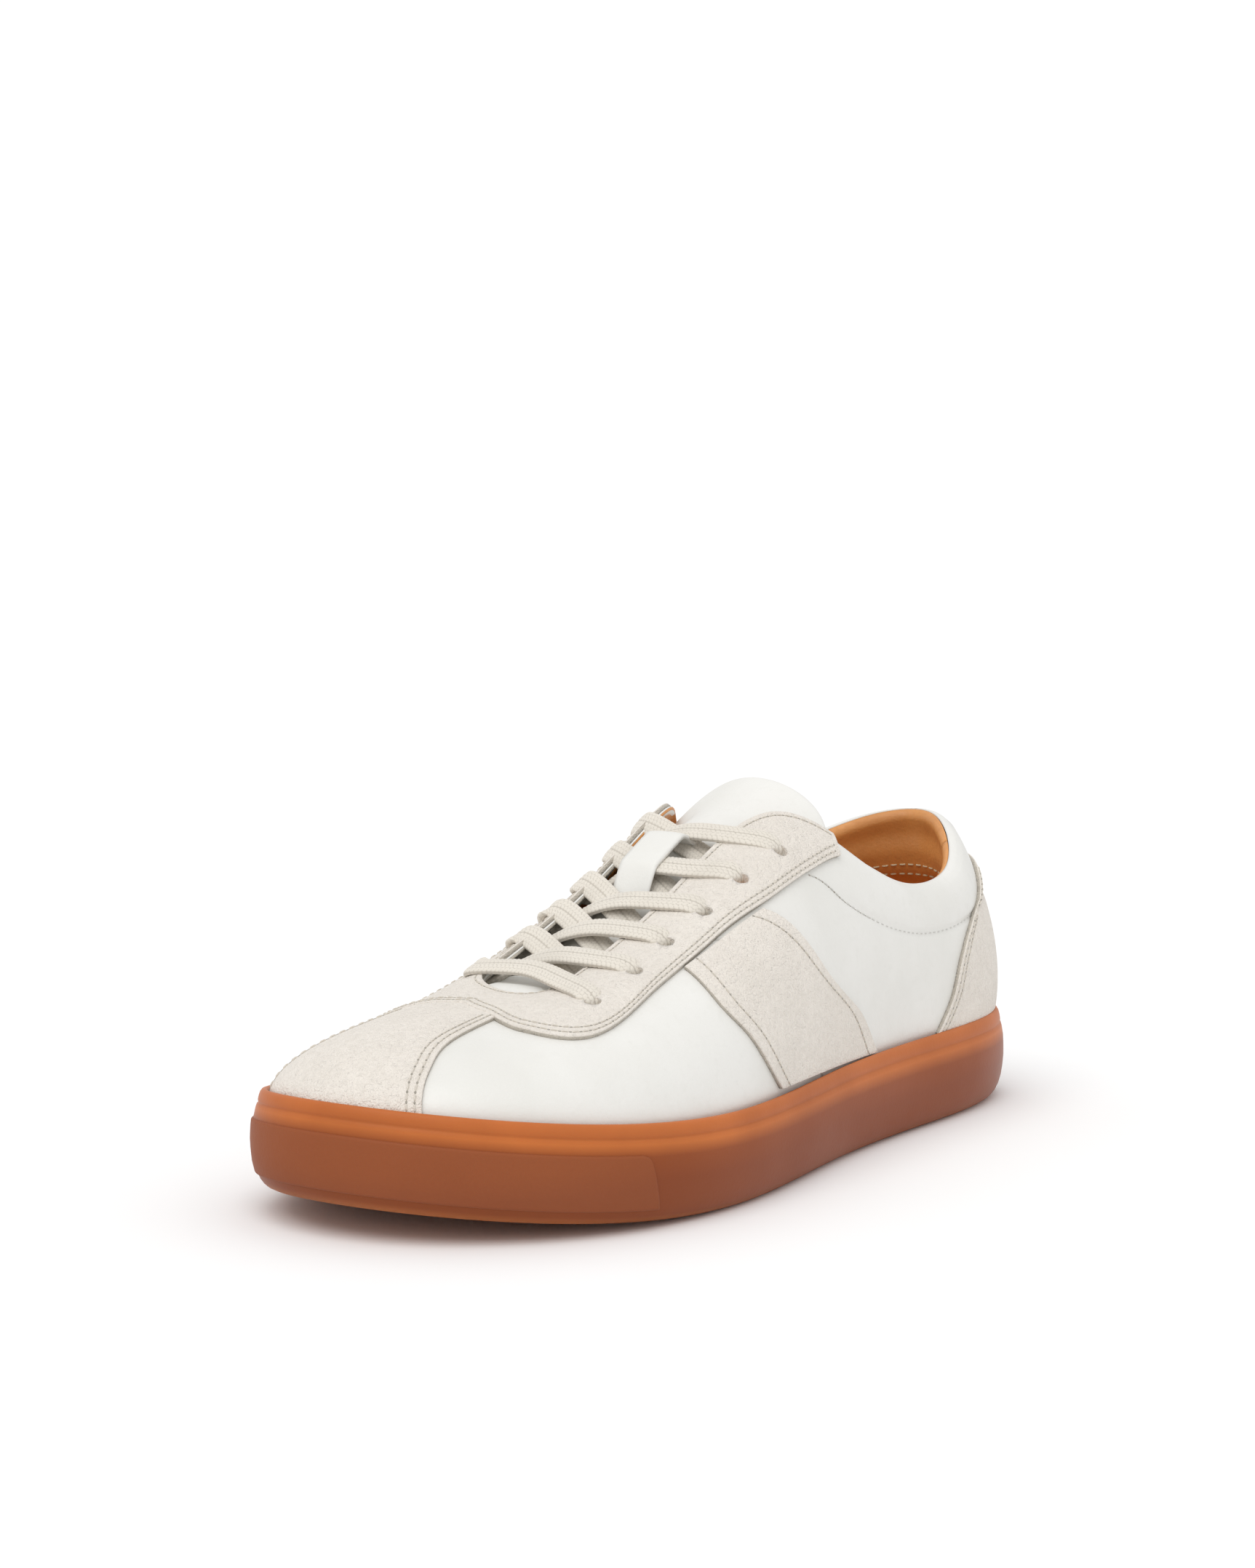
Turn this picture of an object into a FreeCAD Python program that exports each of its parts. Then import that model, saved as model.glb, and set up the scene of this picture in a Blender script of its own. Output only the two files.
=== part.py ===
import FreeCAD, Part
import math
import os

# A low court shoe for the left foot, in millimetres: +X to the toe, +Y to the outer side, +Z up.
# Its upper is built in layers on one skin, the outer face of the white leather. A place on that
# skin is (s, v): s counts stations round the shoe from the heel, along the outer side, round the
# toe and back along the inner side, and v runs from the feather edge in the sole, 0, to the
# topline and the throat edge, 1. A layer is given by its depths below the skin.

Vec = FreeCAD.Vector

# Driving dimensions of the sole
TOE_SPRING = 8.7
SPRING_START = 45.0
SPRING_END = 150.0
FOREFOOT_WALL = 25.1
HEEL_WALL_EXTRA = 1.4
CUP_FLOOR = 6.0
TREAD_DEPTH = 1.2
TREAD_WIDTH = 3.0
TREAD_PITCH = 11.0
TREAD_GROOVES = 5
TREAD_MARGIN = 12.0
TREAD_STARTS = (-128.0, -10.0)
LIP_INSET = 2.4
FEATHER_TUCK = 5.0
FEATHER_INSET = 5.0
BUMPER_THICKNESS = 0.8

# Driving dimensions of the upper and of what lies in it
LEATHER = 1.3
SUEDE = 1.3
LINING = 0.9
STIFFENER = 1.0
PLY_GAP = 0.1
FOAM_GAP = 0.35
TONGUE_GAP = 0.25
TONGUE_OUTER_HALF = 21.8
TONGUE_INNER_HALF = 15.4
COLLAR_PAD = 4.5
EYELET_BORE = 5.0
LACE_DIAMETER = 3.2
AGLET_LENGTH = 20.0
TONGUE_LEATHER = 1.2
TONGUE_FOAM = 3.0
TONGUE_LINING = 0.8
TONGUE_FRONT = 96.0
TONGUE_TOP = -43.0

# Depth of the lace's line under and over the facings, and its height where two strands cross
UNDER_FACING = LEATHER + PLY_GAP + LINING + 0.5 + LACE_DIAMETER / 2
OVER_FACING = SUEDE + PLY_GAP + 0.3 + LACE_DIAMETER / 2
LOW_STRAND = -1.2
HIGH_STRAND = 2.9
BAR_CREST = {1: Vec(72.5, 13.5, 60.5), -1: Vec(68.0, -14.0, 62.0)}

# Middle of the finished shoe's box, which becomes the origin
MID_X = 1.85
MID_Y = 3.75

# The sole's outline: control points of a closed cubic curve, one for each station
OUTLINE = [
    (-151, 2), (-147, 30), (-112, 43), (-65, 44), (-15, 48), (34, 59), (80, 61), (119, 49), (148, 24),
    (156, -8), (142, -38), (108, -51), (70, -52), (20, -44), (-30, -35), (-75, -36), (-115, -39), (-147, -27),
]
STATIONS = len(OUTLINE)

# The cup's wall from the floor to the lip, as (inset from the outline, height)
WALL_PROFILE = [
    (5.3, -0.4), (3.2, 0.9), (1.5, 3.0), (0.4, 7.0), (0.0, 12.0), (0.3, 18.0), (1.2, 22.5), (LIP_INSET, 25.0),
]

# The topline at each station: the collar, then up to the facing's ear and round the throat
TOPLINE = [
    (-138, 0.5, 83), (-128, 17, 80.5), (-104, 31.5, 70.5), (-75, 34, 68.3), (-46, 31.5, 79), (-20, 17, 92),
    (22, 12.5, 73.5), (60, 12.5, 58), (74, 9.8, 53.7), (77.5, 0.5, 53), (74, -10.3, 54.5), (60, -14, 58),
    (22, -13.5, 73.5), (-20, -16, 92), (-46, -30, 79), (-75, -34, 69), (-104, -31, 71.5), (-128, -16, 80.5),
]

# The point at each station that pulls the skin out below the topline
SHOULDER = [
    (-147, 0.5, 60), (-136, 22.5, 60), (-107, 38, 56), (-73, 42, 54), (-38, 42, 66), (-6, 38, 80),
    (38, 38, 66), (80, 34, 53), (108, 18, 49.5), (122, -3, 51), (102, -17, 47.5), (72, -27, 45),
    (28, -28, 57), (-14, -28, 74), (-42, -38, 67), (-73, -39, 55), (-108, -38, 57), (-138, -23, 60),
]

# How far out and up the skin leaves the feather edge at each station
RISE = [
    (4.5, 20), (4.5, 20), (2.5, 18), (1.5, 18), (1.5, 20), (2.5, 22), (3, 20), (3, 18), (3, 15),
    (4, 14), (3, 15), (2, 14), (1.5, 17), (1.5, 20), (1.5, 20), (1.5, 18), (2.5, 18), (4.5, 20),
]

# Edges of the overlays on the outer side, as (s, v) from low to high or from front to back
SEAM_EDGE = [(4.15, 0.0), (5.32, 0.5), (6.5, 1.0)]
TOE_EDGE = [(8.05, 0.135), (8.18, 0.36), (8.27, 0.58), (8.22, 0.78)]
STRIPE_FRONT = [(4.95, 0.11), (5.35, 0.27), (5.78, 0.44), (6.12, 0.64)]
STRIPE_REAR = [(3.52, 0.11), (3.85, 0.30), (4.5, 0.45), (5.3, 0.64)]
HEEL_EDGE = [(2.72, 0.11), (2.6, 0.27), (2.3, 0.52), (1.05, 0.83)]
EYESTAY_EDGE = [
    (9.0, 0.93), (8.2, 0.81), (7.6, 0.64), (7.0, 0.54), (6.4, 0.65), (5.8, 0.68), (5.2, 0.68),
    (4.75, 0.75), (4.35, 0.88),
]

# Eyelets on the outer side, front to back; the inner side mirrors them
EYELETS = {
    1: [(7.05, 0.72), (6.6, 0.78), (6.25, 0.81), (5.86, 0.80), (5.48, 0.80), (5.05, 0.82)],
    -1: [(6.88, 0.82), (6.5, 0.85), (6.18, 0.86), (5.82, 0.85), (5.45, 0.85), (5.03, 0.85)],
}


def ramp(value):
    """Smooth step from 0 to 1."""
    t = min(1.0, max(0.0, value))
    return t * t * (3 - 2 * t)


def curve_controls(points):
    """Control points of the closed cubic curve that passes through the points."""
    wanted = [Vec(*point) for point in points]
    controls = list(wanted)
    count = len(wanted)
    for _ in range(40):
        controls = [
            (wanted[i] * 6 - controls[i - 1] - controls[(i + 1) % count]) * 0.25 for i in range(count)
        ]
    return controls


def on_curve(controls, s):
    """Point at s on the closed cubic curve of these control points."""
    count = len(controls)
    span = math.floor(s)
    t = s - span
    weights = ((1 - t) ** 3, 3 * t ** 3 - 6 * t ** 2 + 4, -3 * t ** 3 + 3 * t ** 2 + 3 * t + 1, t ** 3)
    point = Vec()
    for k, weight in enumerate(weights):
        point += controls[(span + k - 1) % count] * (weight / 6)
    return point


OUTLINE_CONTROLS = [Vec(x, y, 0) for x, y in OUTLINE]
TOPLINE_CONTROLS = curve_controls(TOPLINE)
SHOULDER_CONTROLS = curve_controls(SHOULDER)
RISE_CONTROLS = curve_controls([(out, up, 0) for out, up in RISE])


def spring(x):
    """Height of the sole's underside above the floor."""
    past = max(0.0, (x - SPRING_START) / (SPRING_END - SPRING_START))
    return TOE_SPRING * past ** 2


def lip(x):
    """Height of the cup's lip above the floor."""
    return FOREFOOT_WALL + HEEL_WALL_EXTRA / (1 + math.exp((x + 20) / 25)) + spring(x)


def outward(s):
    """Unit vector out of the outline, in plan."""
    step = on_curve(OUTLINE_CONTROLS, s + 0.01) - on_curve(OUTLINE_CONTROLS, s - 0.01)
    return Vec(-step.y, step.x, 0).normalize()


def outline(s, inset, z=0.0):
    """Point inset from the outline, at height z."""
    point = on_curve(OUTLINE_CONTROLS, s) - outward(s) * inset
    return Vec(point.x, point.y, z)


def skin(s, v):
    """Point on the outer face of the white leather."""
    foot = outline(s, FEATHER_INSET)
    foot.z = lip(foot.x) - FEATHER_TUCK
    rise = on_curve(RISE_CONTROLS, s)
    low = foot + outward(s) * rise.x + Vec(0, 0, rise.y)
    shoulder = on_curve(SHOULDER_CONTROLS, s)
    top = on_curve(TOPLINE_CONTROLS, s)
    u = 1 - v
    return foot * u ** 3 + low * (3 * u * u * v) + shoulder * (3 * u * v * v) + top * v ** 3


def skin_normal(s, v):
    """Unit vector out of the skin."""
    along = skin(s + 0.01, v) - skin(s - 0.01, v)
    up = skin(s, v + 0.005) - skin(s, v - 0.005)
    return up.cross(along).normalize()


def at_depth(s, v, depth):
    """Point below the skin by depth, or above it where depth is negative."""
    return skin(s, v) - skin_normal(s, v) * depth


# ---- surfaces and solids from grids of points


def smooth_row(points, closed=False):
    """Control points of a smooth curve through the points: two for each point."""
    last = len(points) - 1
    if closed:
        first_slope = last_slope = (points[1] - points[last - 1]) * 0.5
    else:
        first_slope = (points[1] * 4 - points[0] * 3 - points[2]) * 0.5
        last_slope = (points[last] * 3 - points[last - 1] * 4 + points[last - 2]) * 0.5
    row = [points[0], points[0] + first_slope / 3]
    for i in range(1, last):
        slope = (points[i + 1] - points[i - 1]) * 0.5
        row.append(points[i] - slope / 3)
        row.append(points[i] + slope / 3)
    return row + [points[last] - last_slope / 3, points[last]]


def smooth_knots(controls):
    """Knots and their multiplicities for a row of that many control points."""
    spans = controls // 2 - 1
    return [float(k) for k in range(spans + 1)], [4] + [2] * (spans - 1) + [4]


def smooth_face(grid, closed=False):
    """Face through a grid of points."""
    rows = [smooth_row(row, closed) for row in grid]
    columns = [smooth_row(list(column)) for column in zip(*rows)]
    poles = [list(row) for row in zip(*columns)]
    u_knots, u_mults = smooth_knots(len(poles))
    v_knots, v_mults = smooth_knots(len(poles[0]))
    surface = Part.BSplineSurface()
    surface.buildFromPolesMultsKnots(poles, u_mults, v_mults, u_knots, v_knots, False, False, 3, 3)
    return surface.toShape()


def ruled_face(row_a, row_b, closed=False):
    """Face of straight lines between two rows of points."""
    poles = [smooth_row(row_a, closed), smooth_row(row_b, closed)]
    knots, mults = smooth_knots(len(poles[0]))
    surface = Part.BSplineSurface()
    surface.buildFromPolesMultsKnots(poles, [2, 2], mults, [0.0, 1.0], knots, False, False, 1, 3)
    return surface.toShape()


def flat_face(row):
    """Flat face inside a closed row of points at one height."""
    poles = smooth_row(row, True)
    knots, mults = smooth_knots(len(poles))
    curve = Part.BSplineCurve()
    curve.buildFromPolesMultsKnots(poles, mults, knots, False, 3)
    return Part.Face(Part.Wire([curve.toShape()]))


def solid_of(faces):
    """Solid bounded by the faces."""
    shell = Part.makeShell(faces)
    shell.sewShape()
    if shell.ShapeType != "Shell":
        shell = shell.Shells[0]
    solid = Part.makeSolid(shell)
    if solid.Volume < 0:
        solid.reverse()
    return solid


def slab(outer, inner, closed=False):
    """Solid between two grids of points."""
    faces = [smooth_face(outer, closed), smooth_face(inner, closed)]
    faces.append(ruled_face(outer[0], inner[0], closed))
    faces.append(ruled_face(outer[-1], inner[-1], closed))
    if not closed:
        faces.append(ruled_face([row[0] for row in outer], [row[0] for row in inner]))
        faces.append(ruled_face([row[-1] for row in outer], [row[-1] for row in inner]))
    return solid_of(faces)


def ring_body(rows):
    """Solid from closed rows stacked upwards, the lowest and the highest of them flat."""
    faces = [flat_face(rows[0]), flat_face(rows[-1])]
    faces += [ruled_face(low, high, True) for low, high in zip(rows, rows[1:])]
    return solid_of(faces)


RING = [STATIONS * i / 108 for i in range(109)]


def ring(inset, z):
    """Closed row of points at an inset from the outline; z is a height or a function of x."""
    row = []
    for s in RING:
        point = outline(s, inset)
        point.z = z(point.x) if callable(z) else z
        row.append(point)
    return row


def above_spring(height):
    """Height function that follows the sole's underside."""
    return lambda x: spring(x) + height


# ---- regions of the skin


def along_edge(edge, t):
    """(s, v) at t, 0 to 1, on the smooth line through an edge's points."""
    spans = len(edge) - 1
    i = min(spans - 1, int(t * spans))
    f = t * spans - i
    places = [edge[max(0, i - 1)], edge[i], edge[i + 1], edge[min(spans, i + 2)]]
    weights = (
        (-f + 2 * f ** 2 - f ** 3) / 2, (2 - 5 * f ** 2 + 3 * f ** 3) / 2,
        (f + 4 * f ** 2 - 3 * f ** 3) / 2, (-f ** 2 + f ** 3) / 2,
    )
    return tuple(sum(w * place[axis] for w, place in zip(weights, places)) for axis in (0, 1))


def panel(region, outer_depth, inner_depth, across, up):
    """Slab between two depths over a region, which maps (a, b), each 0 to 1, to (s, v)."""
    grids = []
    for depth in (outer_depth, inner_depth):
        grid = []
        for j in range(up + 1):
            row = []
            for i in range(across + 1):
                s, v = region(i / across, j / up)
                row.append(at_depth(s, v, depth(s, v) if callable(depth) else depth))
            grid.append(row)
        grids.append(grid)
    return slab(*grids)


def between(edge_a, edge_b):
    """Region between two edges."""
    def region(a, b):
        start, end = along_edge(edge_a, b), along_edge(edge_b, b)
        return start[0] + (end[0] - start[0]) * a, start[1] + (end[1] - start[1]) * a
    return region


def mirrored(edge):
    """The same edge on the inner side."""
    return [(STATIONS - s, v) for s, v in edge]


def wrapped(edge):
    """The same edge on the inner side, counted backwards from the heel."""
    return [(-s, v) for s, v in edge]


def straight(s_low, s_high, v_low, v_high):
    """Region between two stations and two heights."""
    def region(a, b):
        return s_low + (s_high - s_low) * a, v_low + (v_high - v_low) * b
    return region


def toe_region(a, b):
    """Region of the T-shaped toe piece, whose top edge follows the eyestay's front."""
    s, v = between(TOE_EDGE, mirrored(TOE_EDGE))(a, b)
    return s, v + 0.11 * b * (1 - (2 * a - 1) ** 2)


def eyestay_region(a, b):
    """Region of the U-shaped eyestay, from the outer ear round the throat to the inner ear."""
    side = abs(2 * a - 1)
    s, v = along_edge(EYESTAY_EDGE, side)
    if a > 0.5:
        s = STATIONS - s
    return s, v + (1 - v) * b


# ---- depths of the plies


def collar_pad(s, v):
    """Thickness of the collar's padding."""
    place = (s + STATIONS / 2) % STATIONS - STATIONS / 2
    across = ramp((4.6 - abs(place)) / 1.2)
    up = ramp((v - 0.62) / 0.16) * (1 - 0.7 * ramp((v - 0.9) / 0.1))
    return COLLAR_PAD * across * up


def lining_depth(s, v):
    """Depth of the lining's outer face: it closes up to the leather at the throat."""
    place = abs((s + STATIONS / 2) % STATIONS - STATIONS / 2)
    at_throat = ramp((v - 0.55) / 0.2) * ramp((place - 4.2) / 0.6)
    room = (STIFFENER + 2 * PLY_GAP) * (1 - at_throat) + PLY_GAP * at_throat
    return LEATHER + room + collar_pad(s, v)


def lining_back(s, v):
    """Depth of the lining's inner face."""
    return lining_depth(s, v) + LINING


# ---- the sole


def profile_slab(low, high):
    """Solid between two height functions of x, as wide as the shoe."""
    stations = [-175.0, -140.0, -100.0, -70.0, -45.0, -20.0, 5.0, 45.0, 75.0, 105.0, 135.0, 175.0]
    edges = []
    ends = []
    for height in (low, high):
        curve = Part.BSplineCurve()
        points = [Vec(x, -90, height(x)) for x in stations]
        curve.interpolate(points)
        edges.append(curve.toShape())
        ends.append((points[0], points[-1]))
    for k in (0, 1):
        edges.append(Part.makeLine(ends[0][k], ends[1][k]))
    face = Part.Face(Part.Wire(Part.sortEdges(edges)[0]))
    return face.extrude(Vec(0, 180, 0))


def sole_profile_slab():
    """Solid between the floor, with the toe spring, and the lip."""
    end = 175.0
    rise = TOE_SPRING / (SPRING_END - SPRING_START) ** 2
    toe_curve = Part.BezierCurve()
    toe_curve.setPoles([
        Vec(SPRING_START, -90, 0), Vec((SPRING_START + end) / 2, -90, 0),
        Vec(end, -90, rise * (end - SPRING_START) ** 2),
    ])
    lip_curve = Part.BSplineCurve()
    stations = [-175.0, -130.0, -90.0, -60.0, -40.0, -20.0, 0.0, 20.0, 45.0, 65.0, 85.0, 110.0, 140.0, end]
    lip_points = [Vec(x, -90, lip(x)) for x in stations]
    lip_curve.interpolate(lip_points)
    heel_floor = Vec(-175, -90, 0)
    edges = [
        Part.makeLine(heel_floor, Vec(SPRING_START, -90, 0)), toe_curve.toShape(),
        Part.makeLine(toe_curve.getPole(3), lip_points[-1]), lip_curve.toShape(),
        Part.makeLine(lip_points[0], heel_floor),
    ]
    face = Part.Face(Part.Wire(Part.sortEdges(edges)[0]))
    return face.extrude(Vec(0, 180, 0))


def upper_row(v, gap):
    """Closed row of points a gap outside the skin."""
    return [at_depth(s, v, -gap) for s in RING]


def level(row, z):
    """The same row at one height."""
    return [Vec(point.x, point.y, z) for point in row]


def cupsole():
    """Rubber cup: a rounded wall, a floor with a tread and a lip that the upper stands in."""
    rows = [ring(6.5, -4.0)]
    rows += [ring(inset, above_spring(height)) for inset, height in WALL_PROFILE]
    rows.append(ring(LIP_INSET, 60.0))
    body = ring_body(rows).common(sole_profile_slab())
    lip_row = upper_row(0.14, 0.15)
    hollow_rows = [
        ring(FEATHER_INSET + 0.2, 2.0), ring(FEATHER_INSET + 0.1, above_spring(CUP_FLOOR + 9)),
        upper_row(0.0, 0.15), upper_row(0.07, 0.15), lip_row, level(lip_row, 60.0),
    ]
    floor_cut = profile_slab(above_spring(CUP_FLOOR), lambda x: 90.0)
    body = body.cut(ring_body(hollow_rows).common(floor_cut))
    field = ring_body([ring(TREAD_MARGIN, -2.0), ring(TREAD_MARGIN, 5.0)])
    grooves = []
    for start in TREAD_STARTS:
        for k in range(TREAD_GROOVES):
            corner = Vec(start + TREAD_PITCH * k, -80.0, -1.0)
            grooves.append(Part.makeBox(TREAD_WIDTH, 160.0, 1.0 + TREAD_DEPTH, corner).common(field))
    return body.cut(grooves)


def wall_point(s, height, proud):
    """Point on the cup's wall at a height above the underside, proud of it."""
    for (inset_a, low), (inset_b, high) in zip(WALL_PROFILE, WALL_PROFILE[1:]):
        if height <= high:
            inset = inset_a + (inset_b - inset_a) * (height - low) / (high - low)
            break
    point = outline(s, inset - proud)
    base = outline(s, inset)
    point.z = spring(base.x) + height
    return point


def toe_bumper():
    """Band of harder rubber round the toe, its top corners rounded off."""
    grids = []
    for proud in (PLY_GAP + BUMPER_THICKNESS, PLY_GAP):
        grid = []
        for j in range(9):
            row = []
            for i in range(61):
                a = 2 * i / 60 - 1
                s = 9.05 + a * (2.75 - 0.12 * j / 8)
                top = 18.0 - 1.2 * abs(a) ** 12
                row.append(wall_point(s, 3.4 + (top - 3.4) * j / 8, proud))
            grid.append(row)
        grids.append(grid)
    return slab(*grids)


def insole_layer(inset, low, high):
    """Flat layer in the cup, following the toe spring."""
    body = ring_body([ring(inset, -3.0), ring(inset, 60.0)])
    return body.common(profile_slab(above_spring(low), above_spring(high)))


# ---- the upper


def vamp():
    """White leather over the forefoot, with the throat cut in it."""
    return panel(between(SEAM_EDGE, mirrored(SEAM_EDGE)), 0.0, LEATHER, 84, 14)


def quarter(side):
    """White leather of one side, from the vamp to the back seam."""
    gap = 0.004
    edge = [(s - gap, v) for s, v in SEAM_EDGE]
    back = [(gap, 0.0), (gap, 0.5), (gap, 1.0)]
    if side < 0:
        edge, back = wrapped(edge), wrapped(back)
    return panel(between(back, edge), 0.0, LEATHER, 44, 14)


def overlay(region, across, up):
    """Suede sewn on the white leather."""
    return panel(region, -(PLY_GAP + SUEDE), -PLY_GAP, across, up)


def eyelet_tools():
    """Cylinders that punch every eyelet."""
    tools = []
    for s, v in EYELETS[1] + mirrored(EYELETS[-1]):
        normal = skin_normal(s, v)
        tools.append(Part.makeCylinder(EYELET_BORE / 2, 14.0, skin(s, v) - normal * 8, normal))
    return tools


# ---- the tongue


def throat_height(x):
    """Height of the straight line nearest the throat's edge."""
    return 50.5 + (83.5 - x) * 0.39


def edge_height(x):
    """Height of the throat's edge, with its dip at the front and its swell at the back."""
    return throat_height(x) - 2.0 * ramp((78 - x) / 14) + 4.1 * ramp((36 - x) / 38)


def tongue_height(x, y):
    """Height of the tongue's outer face, which swells a little between the facings."""
    crown = 0.003 + 0.017 * ramp(-x / 30) if y > 0 else 0.016 + 0.004 * ramp(-x / 30)
    lift = 4.4 * ramp((-8 - x) / 34) + 0.2 * max(0.0, x - 70)
    swell = 1.8 * ramp((11 - abs(y)) / 7) * ramp((84 - x) / 14)
    return edge_height(x) - 7.5 + swell + lift - crown * y * y


def tongue_point(a, b, depth, margin):
    """Point of the tongue: a from its front to its rounded top, b across it, -1 to 1."""
    top = TONGUE_TOP + margin + 15 * b ** 4
    front = TONGUE_FRONT - margin
    x = front + (top - front) * a
    half = (TONGUE_OUTER_HALF if b > 0 else TONGUE_INNER_HALF) - margin - 4 * ramp((x - 60) / 30)
    y = b * half
    return Vec(x, y, tongue_height(x, y) - depth)


def tongue_ply(top_depth, bottom_depth, margin):
    """One layer of the tongue."""
    grids = []
    for depth in (top_depth, bottom_depth):
        grids.append([[tongue_point(i / 30, j / 10 - 1, depth, margin) for i in range(31)] for j in range(21)])
    return slab(*grids)


def lace_keeper():
    """Leather loop on the tongue that the fifth row of lacing passes under."""
    rear, front, half, rise = 3.0, 23.5, 5.5, 14.0
    grids = []
    for depth in (-1.2, 0.0):
        grid = []
        for j in range(5):
            y = half * (j / 2 - 1)
            row = []
            for i in range(17):
                t = i / 16
                x = rear + (front - rear) * t
                bridge = rise * ramp(t / 0.30) * ramp((1 - t) / 0.26)
                row.append(Vec(x, y, tongue_height(x, y) + PLY_GAP + bridge - depth))
            grid.append(row)
        grids.append(grid)
    return slab(*grids)


# ---- the lace


def side_place(side, s, v):
    """(s, v) on the outer side, 1, or the inner side, -1."""
    return (s, v) if side > 0 else (STATIONS - s, v)


def crossing(row, side, lift):
    """Points of one strand, from inside an eyelet to the next row's eyelet on the other side."""
    s, v = EYELETS[side][row]
    s_next, v_next = EYELETS[-side][row + 1]
    ahead = (s + EYELETS[side][row + 1][0]) / 2
    here = [
        at_depth(*side_place(side, s, v), UNDER_FACING),
        at_depth(*side_place(side, ahead + 0.03, 1.0), UNDER_FACING + 0.3),
    ]
    middle_x = (skin(*EYELETS[1][row]).x + skin(*EYELETS[1][row + 1]).x) / 2 - 3
    middle = Vec(middle_x, 0, edge_height(middle_x) + lift)
    there = [
        at_depth(*side_place(-side, s_next + 0.09, 0.985), -OVER_FACING - 0.9),
        at_depth(*side_place(-side, s_next, v_next), -OVER_FACING),
    ]
    return here + [middle] + there


def tail(side):
    """Points of the end that is tucked away under the facing, outside the eyelets."""
    depth = UNDER_FACING + STIFFENER + 0.4
    places = [(5.25, 0.73), (5.6, 0.70), (6.0, 0.69)]
    return [at_depth(*side_place(side, s, v), depth) for s, v in places]


def half_lace(side):
    """Points of the lace from the first row's bar to the end that starts on this side."""
    s, v = EYELETS[side][0]
    points = [BAR_CREST[side], at_depth(*side_place(side, s, v), -OVER_FACING)]
    for row in range(len(EYELETS[side]) - 1):
        lift = LOW_STRAND if side > 0 else HIGH_STRAND
        points += crossing(row, side, lift)
        side = -side
    s, v = EYELETS[side][-1]
    points.append(at_depth(*side_place(side, s, v), UNDER_FACING + 0.3))
    return points + tail(side)


def smooth_path(points):
    """Straight runs joined by tangent arcs; prints the smallest radius and returns the wire."""
    edges = []
    radii = []
    start = points[0]
    for before, corner, after in zip(points, points[1:], points[2:]):
        arriving = (corner - before).normalize()
        leaving = (after - corner).normalize()
        half_turn = arriving.getAngle(leaving) / 2
        reach = 0.45 * min(before.distanceToPoint(corner), corner.distanceToPoint(after))
        radii.append(reach / math.tan(half_turn))
        arc_start = corner - arriving * reach
        arc_end = corner + leaving * reach
        inward = (leaving - arriving).normalize()
        middle = corner + inward * (radii[-1] / math.cos(half_turn) - radii[-1])
        edges.append(Part.LineSegment(start, arc_start).toShape())
        edges.append(Part.Arc(arc_start, middle, arc_end).toShape())
        start = arc_end
    edges.append(Part.LineSegment(start, points[-1]).toShape())
    print("lace radii", [round(radius, 1) for radius in radii])
    return Part.Wire(edges)


def tube(path, diameter):
    """Round tube along a path."""
    start = path.Edges[0]
    direction = start.tangentAt(start.FirstParameter)
    ring_edge = Part.makeCircle(diameter / 2, start.valueAt(start.FirstParameter), direction)
    body = path.makePipeShell([Part.Wire([ring_edge])], True, False)
    print("tube length", round(path.Length, 1), "volume", round(body.Volume), "of",
          round(path.Length * math.pi * diameter ** 2 / 4))
    return body


def lace_and_aglets():
    """The lace as one tube, and the tags on its two ends."""
    outer_half = half_lace(1)
    inner_half = half_lace(-1)
    points = inner_half[::-1] + outer_half
    tags = []
    for end, before in ((points[0], points[1]), (points[-1], points[-2])):
        away = (end - before).normalize()
        tags.append(Part.makeCylinder(LACE_DIAMETER / 2 - 0.1, AGLET_LENGTH, end, away))
    return tube(smooth_path(points), LACE_DIAMETER), Part.makeCompound(tags)


# ---- every piece, written out


def write(name, shape):
    """Move a piece to the shoe's origin and write it."""
    placed = shape.copy()
    placed.translate(Vec(-MID_X, -MID_Y, 0))
    placed.exportStep(os.path.join("parts", name + ".step"))
    box = placed.optimalBoundingBox()
    print(name, placed.isValid(), len(placed.Solids), round(placed.Volume),
          [round(value, 1) for value in (box.XMin, box.XMax, box.YMin, box.YMax, box.ZMin, box.ZMax)])


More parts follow.
